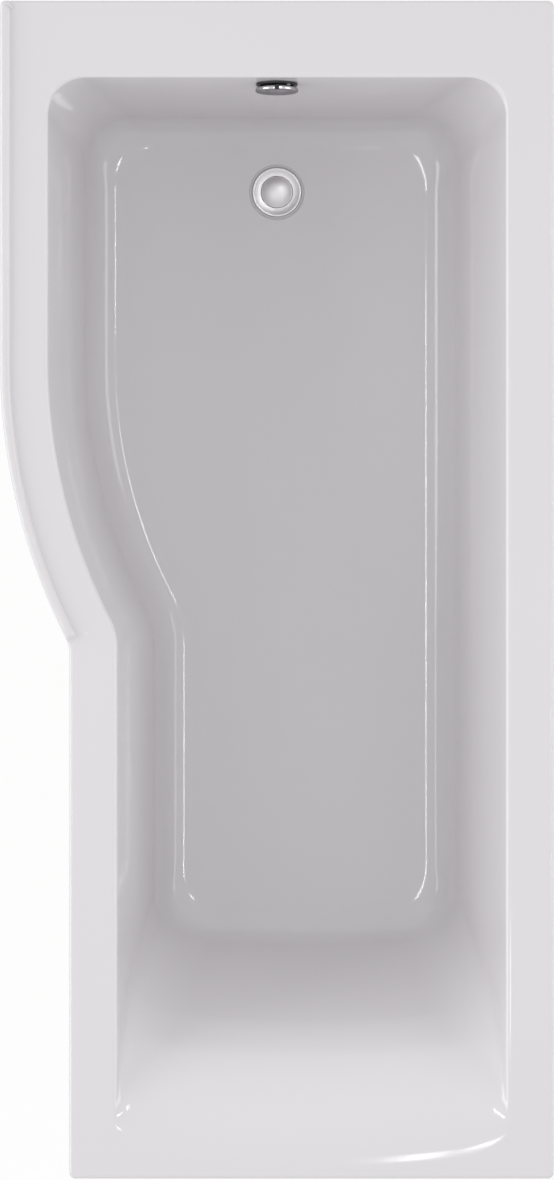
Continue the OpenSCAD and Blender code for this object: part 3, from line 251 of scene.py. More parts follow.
def outline(o):
    """Points round an outline, from the head end of the wall side past the waste end and the bow"""
    x0, x1, x2, y1, y0, bow_y, bow_r, neck_r, tap_r, head_r, arch = o
    low_y = neck_y(o)
    turned = math.asin((bow_y - low_y) / (bow_r + neck_r))
    points = []

    def line(a, b, count):
        for i in range(count):
            points.append((a[0] + (b[0] - a[0]) * i / count, a[1] + (b[1] - a[1]) * i / count))

    def arc(cx, cy, r, start, end, count):
        for i in range(count):
            a = start + (end - start) * i / count
            points.append((cx + r * math.cos(a), cy + r * math.sin(a)))

    quarter = math.pi / 2
    line((x2, y0 + head_r), (x2, y1 - tap_r), ROUND["side"])
    arc(x2 - tap_r, y1 - tap_r, tap_r, 0, quarter, ROUND["corner"])
    line((x2 - tap_r, y1), (x0 + tap_r + LIP_END, y1), ROUND["end"])
    line((x0 + tap_r + LIP_END, y1), (x0 + tap_r, y1), ROUND["lip_end"])
    arc(x0 + tap_r, y1 - tap_r, tap_r, quarter, 2 * quarter, ROUND["corner"])
    line((x0, y1 - tap_r), (x0, bow_y), ROUND["left"])
    arc(x0 + bow_r, bow_y, bow_r, math.pi, math.pi + turned, ROUND["bow"])
    arc(x1 - neck_r, low_y, neck_r, turned, 0, ROUND["neck"])
    line((x1, low_y), (x1, y0 + head_r), ROUND["narrow"])
    arc(x1 + head_r, y0 + head_r, head_r, 2 * quarter, 3 * quarter, ROUND["corner"])
    line((x1 + head_r, y0), (x2 - head_r, y0), ROUND["end"])
    arc(x2 - head_r, y0 + head_r, head_r, 3 * quarter, 4 * quarter, ROUND["corner"])
    middle = (x1 + x2) / 2
    return [(x, y + arch * (x - middle) ** 2 * s[HEAD]) for (x, y), s in zip(points, SHARES)]


class Well:
    """The tub's walls, each with its steepness, its roll at the rim and its radius at the floor"""

    def __init__(self):
        t = tub()
        self.t = t
        self.walls = [
            (t.steep_left, t.roll, t.floor_round),
            (t.steep_right, t.roll, t.floor_round),
            (t.steep_tap, t.roll, t.floor_round),
            (t.steep_head, t.back_roll, t.back_floor),
        ]
        half, end = t.width / 2, t.length / 2
        self.rim = Outline(
            left=-half, narrow=half - t.narrow, right=half, tap=end, head=-end, bow_start=end - t.bow_start,
            bow=t.bow, neck=t.neck, tap_corner=t.corner, head_corner=t.corner, arch=0,
        )
        self.edge = edge = Outline(
            left=-half + t.rim_side, narrow=half - t.narrow + t.rim_side, right=half - t.rim_side,
            tap=end - t.rim_deck, head=-end + t.rim_head, bow_start=end - t.well_bow_start, bow=t.well_bow,
            neck=t.well_neck, tap_corner=t.tap_corner, head_corner=t.head_corner, arch=0.5 / t.arch,
        )
        left, right, tap, head = (self.sample(wall, t.depth)[0] for wall in self.walls)
        self.floor_sides = edge.narrow + left, edge.right - right
        self.floor_ends = edge.tap - tap, edge.head + head
        self.waste_y = fittings().waste_y
        self.fall = t.fall / t.depth / (self.waste_y - self.floor_ends[1])
        self.depths = self.levels()

    def sample(self, wall, depth):
        """Run from the rim's edge and tilt from level, at a depth"""
        steep, roll, foot = wall
        roll_depth = sag(roll, steep)
        foot_depth = self.t.depth - sag(foot, steep)

        def flat(at):
            return roll * math.sin(steep) + (at - roll_depth) / math.tan(steep)

        if depth < roll_depth:
            tilt = math.acos(1 - depth / roll)
            return roll * math.sin(tilt), tilt
        if depth < foot_depth:
            return flat(depth), steep
        tilt = math.acos(min(1, 1 - (self.t.depth - depth) / foot))
        return flat(foot_depth) + foot * (math.sin(steep) - math.sin(tilt)), tilt

    def levels(self):
        """Depths of the rings: the sides' roll, the backrest's roll, the flat of the walls, the foot"""
        t = self.t
        back_tilt = math.acos(1 - sag(t.roll, t.steep_left) / t.back_roll)
        back_end = sag(t.back_roll, t.steep_head)
        foot_start = t.depth - sag(t.floor_round, t.steep_left)
        depths = [sag(t.roll, t.steep_left * i / DOWN["roll"]) for i in range(DOWN["roll"] + 1)]
        for i in range(1, DOWN["back"] + 1):
            depths.append(sag(t.back_roll, back_tilt + (t.steep_head - back_tilt) * i / DOWN["back"]))
        for i in range(1, DOWN["flat"] + 1):
            depths.append(back_end + (foot_start - back_end) * i / DOWN["flat"])
        for i in range(1, DOWN["foot"] + 1):
            depths.append(t.depth - sag(t.floor_round, t.steep_left * (1 - i / DOWN["foot"])))
        return depths

    def share(self, y):
        """What part of its depth the well has there: the floor falls towards the waste"""
        return 1 - self.fall * max(0, self.waste_y - y)

    def ring(self, depth, grow):
        """The wall at a depth, moved outwards by grow"""
        t = self.t
        at = [self.sample(w, depth) for w in self.walls]
        inset = [run - grow * math.sin(tilt) for run, tilt in at]
        wider = t.corner_gain * depth / t.depth + grow * math.sin(at[LEFT][1])
        left, right, tap, head = inset
        moves = (left, left, -right, -tap, head, 0, -left, left, wider, wider, 0)
        plan = outline(Outline(*(value + move for value, move in zip(self.edge, moves))))
        thick = [grow * math.cos(tilt) for _, tilt in at]
        return [
            Vector((x, y, t.rim_height - (depth + sum(a * b for a, b in zip(s, thick))) * self.share(y)))
            for (x, y), s in zip(plan, SHARES)
        ]

    def floor_rings(self, grow):
        """The floor, from its edge towards its long middle line"""
        edge = self.ring(self.t.depth, grow)
        narrow_x, right_x = self.floor_sides
        tap_y, head_y = self.floor_ends
        middle, half = (narrow_x + right_x) / 2, (right_x - narrow_x) / 2
        rings = []
        for share in (0.12, 0.3, 0.55, 0.82):
            ring = []
            for p in edge:
                spine = Vector((middle, min(tap_y - half, max(head_y + half, p.y)), 0))
                q = p.lerp(spine, share)
                q.z = self.t.rim_height - (self.t.depth + grow) * self.share(q.y)
                ring.append(q)
            rings.append(ring)
        return rings

    def inset_rim(self, e):
        """The rim's outline, moved inwards by e"""
        inwards = Outline(1, 1, -1, -1, 1, 0, -1, 1, 0, 0, 0)
        smaller = Outline(*(value + way * e for value, way in zip(self.rim, inwards)))
        corner = max(0.001, self.t.corner - e)
        return smaller._replace(tap_corner=corner, head_corner=corner)

    def edge_fall(self, e):
        """The outer edge's rounding, at a distance in from it"""
        edge = self.t.edge
        return 0 if e >= edge else math.sqrt(edge**2 - (edge - e) ** 2) - edge

    def lip_rise(self, e):
        """The lip's section: a flat crest, a quarter round down to its foot, and a long shallow cove"""
        t = self.t
        top, fade = 0.005, t.lip_width + 0.038
        fall_from, fall_to = t.lip_width - 0.0055, t.lip_width + LIP_FOOT
        if e < top:
            return t.lip - top + math.sqrt(top**2 - (top - e) ** 2)
        if e < fall_from:
            return t.lip
        if e < fall_to:
            return t.cove + (t.lip - t.cove) * math.sqrt(1 - ((e - fall_from) / (fall_to - fall_from)) ** 2)
        return t.cove * ((fade - e) / (fade - fall_to)) ** 2 if e < fade else 0

    def rim_height_at(self, e, x, y, lip):
        if lip is None:
            rise = self.edge_fall(self.rim.tap - y) + self.lip_rise(x - self.rim.left)
        else:
            rise = self.edge_fall(e)
            rise += lip * (self.lip_rise(e) - rise)
        return self.t.rim_height + rise

    def rim_rings(self):
        """From the well's edge out over the cove and the lip to the outer edge"""
        t = self.t
        start = self.inset_rim(t.edge)
        foot = t.lip_width + LIP_FOOT
        inner = [0.061, 0.057, 0.052, 0.047, 0.042, 0.037, 0.032, 0.028, 0.024]
        inner += [0.0215, 0.0195, 0.018, 0.0168, 0.0161, foot + 0.00012]
        down = (0.00001, 0.0001, 0.0003, 0.0006, 0.001, 0.0016, 0.0024, 0.0034, 0.0045, 0.0056, 0.0066)
        inner += [foot - step for step in down]
        rings = []
        whole = t.rim_side - t.edge
        for e in inner:
            past = e - t.edge
            rings.append((e, Outline(*(a + (b - a) * past / whole for a, b in zip(start, self.edge)))))
        for share in (1, 0.82, 0.64, 0.48, 0.34, 0.22, 0.12, 0.05, 0.012, 0):
            rings.append((t.edge * share, self.inset_rim(t.edge * share)))
        return [
            [Vector((x, y, self.rim_height_at(e, x, y, lip))) for (x, y), lip in zip(outline(o), LIP)]
            for e, o in rings
        ]

    def level_ring(self, e, z):
        """The rim's outline, moved inwards by e, at one height"""
        return [Vector((x, y, z)) for x, y in outline(self.inset_rim(e))]


# ---- Mesh helpers --------------------------------------------------------------------------------
def piece(name, bm, slot, replaces=(), body="bath", look=None, sharp=35, weld=True):
    """Makes a finished object of a bmesh: welded, facing outwards, smooth but for its sharp edges. It has its
    slot's finish, or the finish that look names."""
    if weld:
        bmesh.ops.remove_doubles(bm, verts=bm.verts, dist=1e-6)
        bmesh.ops.recalc_face_normals(bm, faces=bm.faces)
    mesh = bpy.data.meshes.new(name)
    bm.to_mesh(mesh)
    bm.free()
    mesh.shade_smooth()
    mesh.set_sharp_from_angle(angle=math.radians(sharp))
    mesh.materials.append(finish(look or slot))
    obj = bpy.data.objects.new(name, mesh)
    bpy.context.scene.collection.objects.link(obj)
    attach(obj, body)
    if replaces:
        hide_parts(*replaces)


def lofted(rings):
    """A closed surface through rings of equal length: a grid whose columns run round, welded to itself"""
    around, along = len(rings[0]), len(rings) - 1
    bm = bmesh.new()
    bmesh.ops.create_grid(bm, x_segments=around, y_segments=along, size=0.5)
    for v in bm.verts:
        v.co = rings[round((v.co.y + 0.5) * along)][round((v.co.x + 0.5) * around) % around]
    bmesh.ops.remove_doubles(bm, verts=bm.verts, dist=1e-7)
    bmesh.ops.holes_fill(bm, edges=[e for e in bm.edges if e.is_boundary], sides=0)
    bmesh.ops.recalc_face_normals(bm, faces=bm.faces)
    return bm


def swept(profile, steps, angle=2 * math.pi, closed=True, rise=0.0, merge=False):
    """Turns a profile of (radius, height) points about Z, and lifts it by rise at each step. A closed profile
    comes back to its first point."""
    bm = bmesh.new()
    verts = [bm.verts.new((r, 0, z)) for r, z in profile]
    edges = [bm.edges.new(pair) for pair in zip(verts, verts[1:])]
    if closed:
        edges.append(bm.edges.new((verts[-1], verts[0])))
    centre, axis, lift = (0, 0, 0), (0, 0, 1), (0, 0, rise)
    bmesh.ops.spin(
        bm, geom=verts + edges, cent=centre, axis=axis, dvec=lift, angle=angle, steps=steps, use_merge=merge
    )
    return bm


def spun(profile, steps, closed=True):
    """Turns a profile all the way round, as on a lathe"""
    bm = swept(profile, steps, closed=closed, merge=True)
    bmesh.ops.remove_doubles(bm, verts=bm.verts, dist=1e-7)
    loose = [e for e in bm.edges if not e.link_faces]
    bmesh.ops.delete(bm, geom=loose, context="EDGES")
    bmesh.ops.recalc_face_normals(bm, faces=bm.faces)
    return bm


def prism(sides, radius, low, high, turned=0.0):
    """An upright prism or cylinder"""
    bm = bmesh.new()
    bmesh.ops.create_cone(
        bm, cap_ends=True, segments=sides, radius1=radius, radius2=radius, depth=high - low,
        matrix=Matrix.Translation((0, 0, (low + high) / 2)) @ Matrix.Rotation(turned, 4, "Z"),
    )
    return bm


def block(low, high, bevel=0.0, segments=2):
    """A box between two corners, its edges rounded"""
    bm = bmesh.new()
    low, high = Vector(low), Vector(high)
    place = Matrix.Translation((low + high) / 2) @ Matrix.Diagonal((*(high - low), 1))
    bmesh.ops.create_cube(bm, size=1, matrix=place)
    if bevel:
        rounding = {"offset": bevel, "segments": segments, "profile": 0.5, "clamp_overlap": True}
        bmesh.ops.bevel(bm, geom=bm.edges[:], affect="EDGES", material=-1, **rounding)
    return bm


def moved(bm, matrix):
    bmesh.ops.transform(bm, matrix=matrix, verts=bm.verts)
    return bm


def joined(*parts):
    """Several closed shapes in one bmesh"""
    whole = bmesh.new()
    for part in parts:
        mesh = bpy.data.meshes.new("part")
        part.to_mesh(mesh)
        part.free()
        whole.from_mesh(mesh)
        bpy.data.meshes.remove(mesh)
    return whole


def carved(bm, tools, operation="DIFFERENCE"):
    """The shape less, or with, each tool; all are bmeshes and all are used up"""

    def stand_in(shape):
        mesh = bpy.data.meshes.new("stand_in")
        shape.to_mesh(mesh)
        shape.free()
        obj = bpy.data.objects.new("stand_in", mesh)
        bpy.context.scene.collection.objects.link(obj)
        return obj

    base = stand_in(bm)
    others = [stand_in(t) for t in tools]
    for other in others:
        change = base.modifiers.new("carve", "BOOLEAN")
        change.object = other
        change.operation = operation
        change.solver = "EXACT"
    seen = bpy.context.evaluated_depsgraph_get()
    result = bmesh.new()
    result.from_mesh(base.evaluated_get(seen).to_mesh())
    for obj in [base, *others]:
        mesh = obj.data
        bpy.data.objects.remove(obj)
        bpy.data.meshes.remove(mesh)
    bmesh.ops.dissolve_degenerate(result, dist=1e-6, edges=result.edges)
    return result


def overflow_place():
    """The overflow's own frame: its Z points out of the wall at the waste end, into the well"""
    t, well, drop = tub(), Well(), fittings().overflow_drop
    run = well.sample(well.walls[TAP], drop)[0]
    at = Vector((0, well.edge.tap - run, t.rim_height - drop))
    return Matrix.Translation(at) @ Matrix.Rotation(t.steep_tap, 4, "X")


def waste_place(z=0):
    return Matrix.Translation((0, fittings().waste_y, z))


# ---- Finishes ------------------------------------------------------------------------------------
def feed(tree, socket, value):
    """Gives an input a value, or links another node's output to it"""
    if isinstance(value, bpy.types.NodeSocket):
        tree.links.new(value, socket)
    else:
        socket.default_value = value


def node(tree, kind, links=None, **settings):
    """Adds a shader node; links gives its inputs, by name or number, as values or as other nodes' outputs"""
    made = tree.nodes.new("ShaderNode" + kind)
    for key, value in settings.items():
        setattr(made, key, value)
    for name, value in (links or {}).items():
        feed(tree, made.inputs[name], value)
    return made


def mix(tree, share, first, second):
    """Blends two colours"""
    return node(tree, "Mix", {0: share, 6: first, 7: second}, data_type="RGBA").outputs[2]


def ramp(tree, value, low, high):
    """Maps a value from 0..1 to low..high"""
    return node(tree, "MapRange", {"Value": value, "To Min": low, "To Max": high}).outputs["Result"]


def maths(tree, operation, first, second=0.0):
    """One step of arithmetic on values or sockets"""
    return node(tree, "Math", {0: first, 1: second}, operation=operation).outputs["Value"]


def from_axis(tree, parts):
    """How far a place is from the Z axis, of its separate coordinates"""
    flat = node(tree, "CombineXYZ", {"X": parts["X"], "Y": parts["Y"]}).outputs["Vector"]
    return node(tree, "VectorMath", {0: flat}, operation="LENGTH").outputs["Value"]


def shade(colour, factor):
    return (*(min(1, c * factor) for c in colour), 1)


def group(name, inputs, outputs, build):
    """A shared node group, built once: build gets its tree and input node and gives the outputs' sockets"""
    tree = bpy.data.node_groups.get(name)
    if tree:
        return tree
    tree = bpy.data.node_groups.new(name, "ShaderNodeTree")
    for label, kind, value in inputs:
        socket = tree.interface.new_socket(label, in_out="INPUT", socket_type=kind)
        if value is not None:
            socket.default_value = value
    for label, kind in outputs:
        tree.interface.new_socket(label, in_out="OUTPUT", socket_type=kind)
    source, result = tree.nodes.new("NodeGroupInput"), tree.nodes.new("NodeGroupOutput")
    for label, value in build(tree, source).items():
        tree.links.new(value, result.inputs[label])
    return tree


def use(tree, shared, links):
    """Puts a shared node group into a tree"""
    return node(tree, "Group", links, node_tree=shared)


class Finish:
    """A Principled material on Object coordinates, with one finely broken-up roughness"""

    def __init__(self, name, colour, roughness, spread, scale, metallic=0.0, coat=0.0, coat_roughness=0.03):
        self.material = bpy.data.materials.new(name)
        self.material.use_nodes = True
        self.tree = self.material.node_tree
        self.shader = next(n for n in self.tree.nodes if n.type == "BSDF_PRINCIPLED")
        self.set("Base Color", (*colour, 1))
        self.set("Metallic", metallic)
        self.set("Coat Weight", coat)
        self.set("Coat Roughness", coat_roughness)
        self.where = node(self.tree, "TexCoord").outputs["Object"]
        marks = use(self.tree, soft_marks(), {"Vector": self.where, "Scale": scale})
        self.marks = marks.outputs["Marks"]
        self.set("Roughness", ramp(self.tree, self.marks, roughness - spread, roughness + spread))

    def set(self, socket, value):
        feed(self.tree, self.shader.inputs[socket], value)

    def relief(self, height, strength, distance):
        bump = node(self.tree, "Bump", {"Height": height, "Strength": strength, "Distance": distance})
        self.set("Normal", bump.outputs["Normal"])

    def noise(self, scale, detail=2.0, vector=None):
        links = {"Vector": vector or self.where, "Scale": scale, "Detail": detail}
        return node(self.tree, "TexNoise", links).outputs["Fac"]

    def stretched(self, scale, turned=(0, 0, 0)):
        """Object coordinates, first turned and then stretched"""
        links = {"Vector": self.where, "Rotation": turned, "Scale": [1 / s for s in scale]}
        return node(self.tree, "Mapping", links, vector_type="TEXTURE").outputs["Vector"]

    def measured_from(self, centre):
        """Object coordinates, counted from a centre"""
        links = {"Vector": self.where, "Location": [-c for c in centre]}
        return node(self.tree, "Mapping", links).outputs["Vector"]


def soft_marks():
    """Soft blotches, as handling and moulding leave them"""

    def build(tree, source):
        links = {"Vector": source.outputs["Vector"], "Scale": source.outputs["Scale"], "Detail": 3.0}
        return {"Marks": node(tree, "TexNoise", links).outputs["Fac"]}

    return group(
        "soft_marks",
        [("Vector", "NodeSocketVector", None), ("Scale", "NodeSocketFloat", 9.0)],
        [("Marks", "NodeSocketFloat")],
        build,
    )


def strands():
    """Short fibres that lie in one direction: noise, long one way and thin the other"""

    def build(tree, source):
        links = {"Vector": source.outputs["Vector"], "Scale": 1.0, "Detail": 1.0, "Roughness": 0.4}
        lines = node(tree, "TexNoise", links).outputs["Fac"]
        thin = node(tree, "MapRange", {"Value": lines, "From Min": 0.56, "From Max": 0.66})
        return {"Fibre": thin.outputs["Result"]}

    return group("strands", [("Vector", "NodeSocketVector", None)], [("Fibre", "NodeSocketFloat")], build)


def rings_of_turning():
    """Fine concentric lines, as turning and polishing leave them, round the Z axis"""

    def build(tree, source):
        parts = node(tree, "SeparateXYZ", {"Vector": source.outputs["Vector"]}).outputs
        links = {"W": from_axis(tree, parts), "Scale": source.outputs["Fineness"], "Detail": 2.0}
        return {"Lines": node(tree, "TexNoise", links, noise_dimensions="1D").outputs["Fac"]}

    return group(
        "rings_of_turning",
        [("Vector", "NodeSocketVector", None), ("Fineness", "NodeSocketFloat", 2500.0)],
        [("Lines", "NodeSocketFloat")],
        build,
    )


def gloss_acrylic():
    c = colours().acrylic
    f = Finish("gloss_acrylic", c, roughness=0.08, spread=0.02, scale=5.0)
    f.set("IOR", 1.49)
    f.set("Base Color", mix(f.tree, f.noise(2.2, 2.0), shade(c, 0.99), shade(c, 1.01)))
    f.relief(f.noise(28.0, 1.0), strength=0.03, distance=0.001)
    return f.material


def fibre_laminate():
    c = colours().laminate
    f = Finish("fibre_laminate", c, roughness=0.34, spread=0.12, scale=40.0, coat=0.25, coat_roughness=0.2)
    heights = None
    for k in range(9):
        lift, bearing = (-0.9, 0.1, 0.9)[k % 3], 0.35 * k + 0.2
        vector = f.stretched((70, 900, 900), (0, lift, bearing))
        fibre = use(f.tree, strands(), {"Vector": vector}).outputs["Fibre"]
        heights = maths(f.tree, "MAXIMUM", heights, fibre) if heights else fibre
    resin = mix(f.tree, f.noise(14.0, 4.0), shade(c, 0.82), shade(c, 1.12))
    pale_fibre = (0.83, 0.84, 0.78, 1)
    f.set("Base Color", mix(f.tree, maths(f.tree, "MULTIPLY", heights, 0.55), resin, pale_fibre))
    f.relief(maths(f.tree, "ADD", heights, f.noise(120.0, 3.0)), strength=0.5, distance=0.0006)
    return f.material


def pressed_chips():
    c = colours().chipboard
    f = Finish("pressed_chips", c, roughness=0.62, spread=0.08, scale=60.0)
    vector = f.stretched((180, 90, 260))
    chips = node(f.tree, "TexVoronoi", {"Vector": vector, "Scale": 1.0, "Randomness": 1.0})
    pick = node(f.tree, "SeparateColor", {"Color": chips.outputs["Color"]})
    base = mix(f.tree, pick.outputs["Red"], shade(c, 0.62), shade(c, 1.35))
    dust = mix(f.tree, f.noise(900.0, 2.0), shade(c, 0.8), shade(c, 1.25))
    f.set("Base Color", mix(f.tree, 0.3, base, dust))
    f.relief(chips.outputs["Distance"], strength=0.25, distance=0.0004)
    return f.material


def softwood(name, long_axis, centre=(0, 0, 0)):
    """Planed timber whose grain runs along an axis, 0 for X, 1 for Y or 2 for a bow about a centre"""
    c, grain = colours().timber, 0.05
    f = Finish(name, c, roughness=0.5, spread=0.08, scale=30.0)
    if long_axis == 2:
        parts = node(f.tree, "SeparateXYZ", {"Vector": f.measured_from(centre)}).outputs
        along = maths(f.tree, "MULTIPLY", parts["Y"], grain)
        links = {"X": along, "Y": from_axis(f.tree, parts), "Z": parts["Z"]}
        across = node(f.tree, "CombineXYZ", links).outputs["Vector"]
    else:
        across = f.stretched([grain if k == long_axis else 1 for k in range(3)])
    links = {"Vector": across, "Scale": 75.0, "Distortion": 3.0, "Detail": 2.0, "Detail Scale": 8.0}
    way = "Y" if long_axis == 1 else "X"
    rings = node(f.tree, "TexWave", links, wave_type="RINGS", rings_direction=way).outputs["Fac"]
    fibre = f.noise(1300.0, 2.0, across)
    late = node(f.tree, "MapRange", {"Value": rings, "From Min": 0.25, "From Max": 0.9}).outputs["Result"]
    wood = mix(f.tree, late, shade(c, 1.12), shade(c, 0.66))
    f.set("Base Color", mix(f.tree, ramp(f.tree, fibre, low=0.0, high=0.35), wood, shade(c, 0.55)))
    f.relief(fibre, strength=0.3, distance=0.0003)
    return f.material


def galvanised():
    c = colours().zinc
    f = Finish("galvanised", c, roughness=0.36, spread=0.1, scale=25.0, metallic=1.0)
    flakes = node(f.tree, "TexVoronoi", {"Vector": f.where, "Scale": 130.0, "Randomness": 1.0})
    pick = node(f.tree, "SeparateColor", {"Color": flakes.outputs["Color"]})
    f.set("Base Color", mix(f.tree, pick.outputs["Green"], shade(c, 0.84), shade(c, 1.22)))
    f.set("Roughness", ramp(f.tree, pick.outputs["Blue"], low=0.26, high=0.46))
    return f.material


def bright_plating():
    f = Finish("bright_plating", colours().bright, roughness=0.24, spread=0.08, scale=90.0, metallic=1.0)
    f.relief(f.noise(1500.0, 1.0), strength=0.05, distance=0.0002)
    return f.material


def moulded(name, colour, roughness, grain):
    """A moulded plastic or rubber with a fine skin"""
    f = Finish(name, colour, roughness=roughness, spread=0.06, scale=35.0)
    f.set("Base Color", mix(f.tree, f.marks, shade(colour, 0.92), shade(colour, 1.06)))
    f.relief(f.noise(grain, 2.0), strength=0.12, distance=0.0002)
    return f.material


def polished_chrome(name, roughness, lines=0.0):
    """Chrome, on the waste's pieces with fine lines round the waste's axis"""
    f = Finish(name, colours().chrome, roughness=roughness, spread=0.02, scale=20.0, metallic=1.0)
    f.set("Specular Tint", (0.55, 0.54, 0.56, 1))
    if lines:
        links = {"Vector": f.measured_from((0, fittings().waste_y, 0)), "Fineness": 1800.0}
        turning = use(f.tree, rings_of_turning(), links).outputs["Lines"]
        f.relief(turning, strength=lines, distance=0.0002)
        f.set("Roughness", ramp(f.tree, turning, low=roughness - 0.03, high=roughness + 0.08))
    return f.material


def turned_brass():
    f = Finish("turned_brass", colours().brass, roughness=0.26, spread=0.06, scale=60.0, metallic=1.0)
    f.relief(f.noise(700.0, 1.0), strength=0.05, distance=0.0002)
    return f.material


finish_cache = {}


def finish(name):
    """The finish of a slot, or of a look within it, made when it is first asked for"""
    t, c = tub(), colours()
    bow_centre = (t.bow - t.width / 2, t.length / 2 - t.bow_start, 0)
    makers = {
        "acrylic": gloss_acrylic,
        "laminate": fibre_laminate,
        "chipboard": pressed_chips,
        "timber": lambda: softwood("timber_along", 1),
        "timber_across": lambda: softwood("timber_across", 0),
        "timber_bow": lambda: softwood("timber_bow", 2, bow_centre),
        "zinc_steel": galvanised,
        "bright_steel": bright_plating,
        "black_plastic": lambda: moulded("black_plastic", c.black, roughness=0.42, grain=900.0),
        "seal_rubber": lambda: moulded("sealing_rubber", c.rubber, roughness=0.62, grain=500.0),
        "white_plastic": lambda: moulded("white_plastic", c.white, roughness=0.34, grain=1200.0),
        "grey_plastic": lambda: moulded("grey_plastic", c.grey, roughness=0.4, grain=700.0),
        "chrome": lambda: polished_chrome("polished_chrome", 0.12),
        "domed_chrome": lambda: polished_chrome("domed_chrome", 0.44, lines=0.05),
        "turned_chrome": lambda: polished_chrome("turned_chrome", 0.4, lines=0.3),
        "brass": turned_brass,
    }
    if name not in finish_cache:
        finish_cache[name] = makers[name]()
    return finish_cache[name]


# ---- Operators -----------------------------------------------------------------------------------
class BATH_OT_tub(bpy.types.Operator):
    """Moulds the tub: rim, lip, well, backrest, floor with its recess, and the turned-down edge"""

    bl_idname = "bath.tub"
    bl_label = "Tub"

    def execute(self, context):
        well, t, f = Well(), tub(), fittings()
        over = [well.ring(d, 0) for d in well.depths]
        under = [well.ring(d, t.acrylic) for d in well.depths]
        low, soft = t.rim_height - t.apron, 0.0012
        rings = [
            *reversed(well.floor_rings(0)),
            *reversed(over),
            *well.rim_rings(),
            well.level_ring(0, low + soft),
            well.level_ring(soft, low),
            well.level_ring(t.acrylic - soft, low),
            well.level_ring(t.acrylic, low + soft),
            well.level_ring(t.acrylic, t.rim_height - t.acrylic),
            *under,
            *well.floor_rings(t.acrylic),
        ]
        shell = t.acrylic + t.laminate + 2 * t.seat
        sunk, over_floor = -0.002, 0.001
        recess_r, round_off = f.flange / 2 + 0.003, 0.0015
        recess = [(0, sunk), (recess_r, sunk), (recess_r, -round_off)]
        for k in range(1, 6):
            a = math.pi / 2 * k / 6
            recess.append((recess_r + sag(round_off, a), -round_off + round_off * math.sin(a) * 0.96))
        recess += [(recess_r + round_off + 0.0006, over_floor), (0, over_floor)]
        waste = waste_place(t.rim_height - t.depth)
        boss_r, under_recess = 0.039, -0.0025
        boss = moved(prism(96, boss_r, -shell, under_recess), waste)
        tools = [
            moved(spun(recess, 128), waste),
            moved(prism(96, f.tail / 2 + 0.002, -0.02, 0.02), waste),
            moved(prism(96, f.overflow_hole / 2, -0.01, 0.01), overflow_place()),
        ]
        bm = carved(carved(lofted(rings), [boss], "UNION"), tools)
        piece("tub", bm, "acrylic", ["tub_shell"], sharp=30, weld=False)
        return {"FINISHED"}


class BATH_OT_laminate(bpy.types.Operator):
    """Lays the glass-fibre laminate on the well's outside"""

    bl_idname = "bath.laminate"
    bl_label = "Laminate"

    def execute(self, context):
        well, t, f = Well(), tub(), fittings()
        near, far = t.acrylic + t.seat, t.acrylic + t.seat + t.laminate
        down = well.depths[DOWN["roll"] :]
        inner = [well.ring(d, near) for d in down]
        outer = [well.ring(d, far) for d in down]
        lumps, per_metre = 0.0005, 60
        for ring, base in zip(outer, inner):
            for p, q in zip(ring, base):
                out = (p - q).normalized()
                p += out * lumps * (noise.noise(p * per_metre) - 0.6)
        rings = [*reversed(well.floor_rings(near)), *reversed(inner), *outer, *well.floor_rings(far)]
        waste_r, overflow_r = 0.04, f.overflow_hole / 2 + 0.011
        tools = [
            moved(prism(96, waste_r, -0.02, 0.02), waste_place(t.rim_height - t.depth - far)),
            moved(prism(96, overflow_r, -0.03, 0.003), overflow_place()),
        ]
        bm = carved(lofted(rings), tools)
        piece("laminate", bm, "laminate", ["glass_laminate"], sharp=40, weld=False)
        return {"FINISHED"}


class BATH_OT_battens(bpy.types.Operator):
    """Cuts the six timber battens under the rim, with planed edges"""

    bl_idname = "bath.battens"
    bl_label = "Battens"

    def execute(self, context):
        soft = 0.0015
        for name in ("wall_side", "front_wide", "front_narrow", "tap_end", "head_end"):
            low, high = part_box(f"batten_{name}")
            look = "timber_across" if name.endswith("end") else "timber"
            piece(f"planed_batten_{name}", block(low, high, soft), "timber", [f"batten_{name}"], look=look)
        t = tub()
        low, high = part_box("batten_front_bow")
        o = Well().inset_rim(t.acrylic + t.seat)
        turned = math.asin((o.bow_start - neck_y(o)) / (o.bow + o.neck)) - math.radians(1.5)
        outer = t.bow - (t.acrylic + t.seat)
        inner = outer - fittings().batten
        corners = []
        for r, way_r, z, way_z in (
            (inner, 1, low.z, 1), (outer, -1, low.z, 1), (outer, -1, high.z, -1), (inner, 1, high.z, -1)
        ):
            pair = [(r + way_r * soft, z), (r, z + way_z * soft)]
            corners += pair if way_r * way_z < 0 else reversed(pair)
        bm = swept(corners, 48, turned)
        bmesh.ops.holes_fill(bm, edges=[e for e in bm.edges if e.is_boundary], sides=0)
        centre = Matrix.Translation((t.bow - t.width / 2, o.bow_start, 0))
        moved(bm, centre @ Matrix.Rotation(math.pi, 4, "Z"))
        piece("planed_batten_front_bow", bm, "timber", ["batten_front_bow"], look="timber_bow")
        return {"FINISHED"}


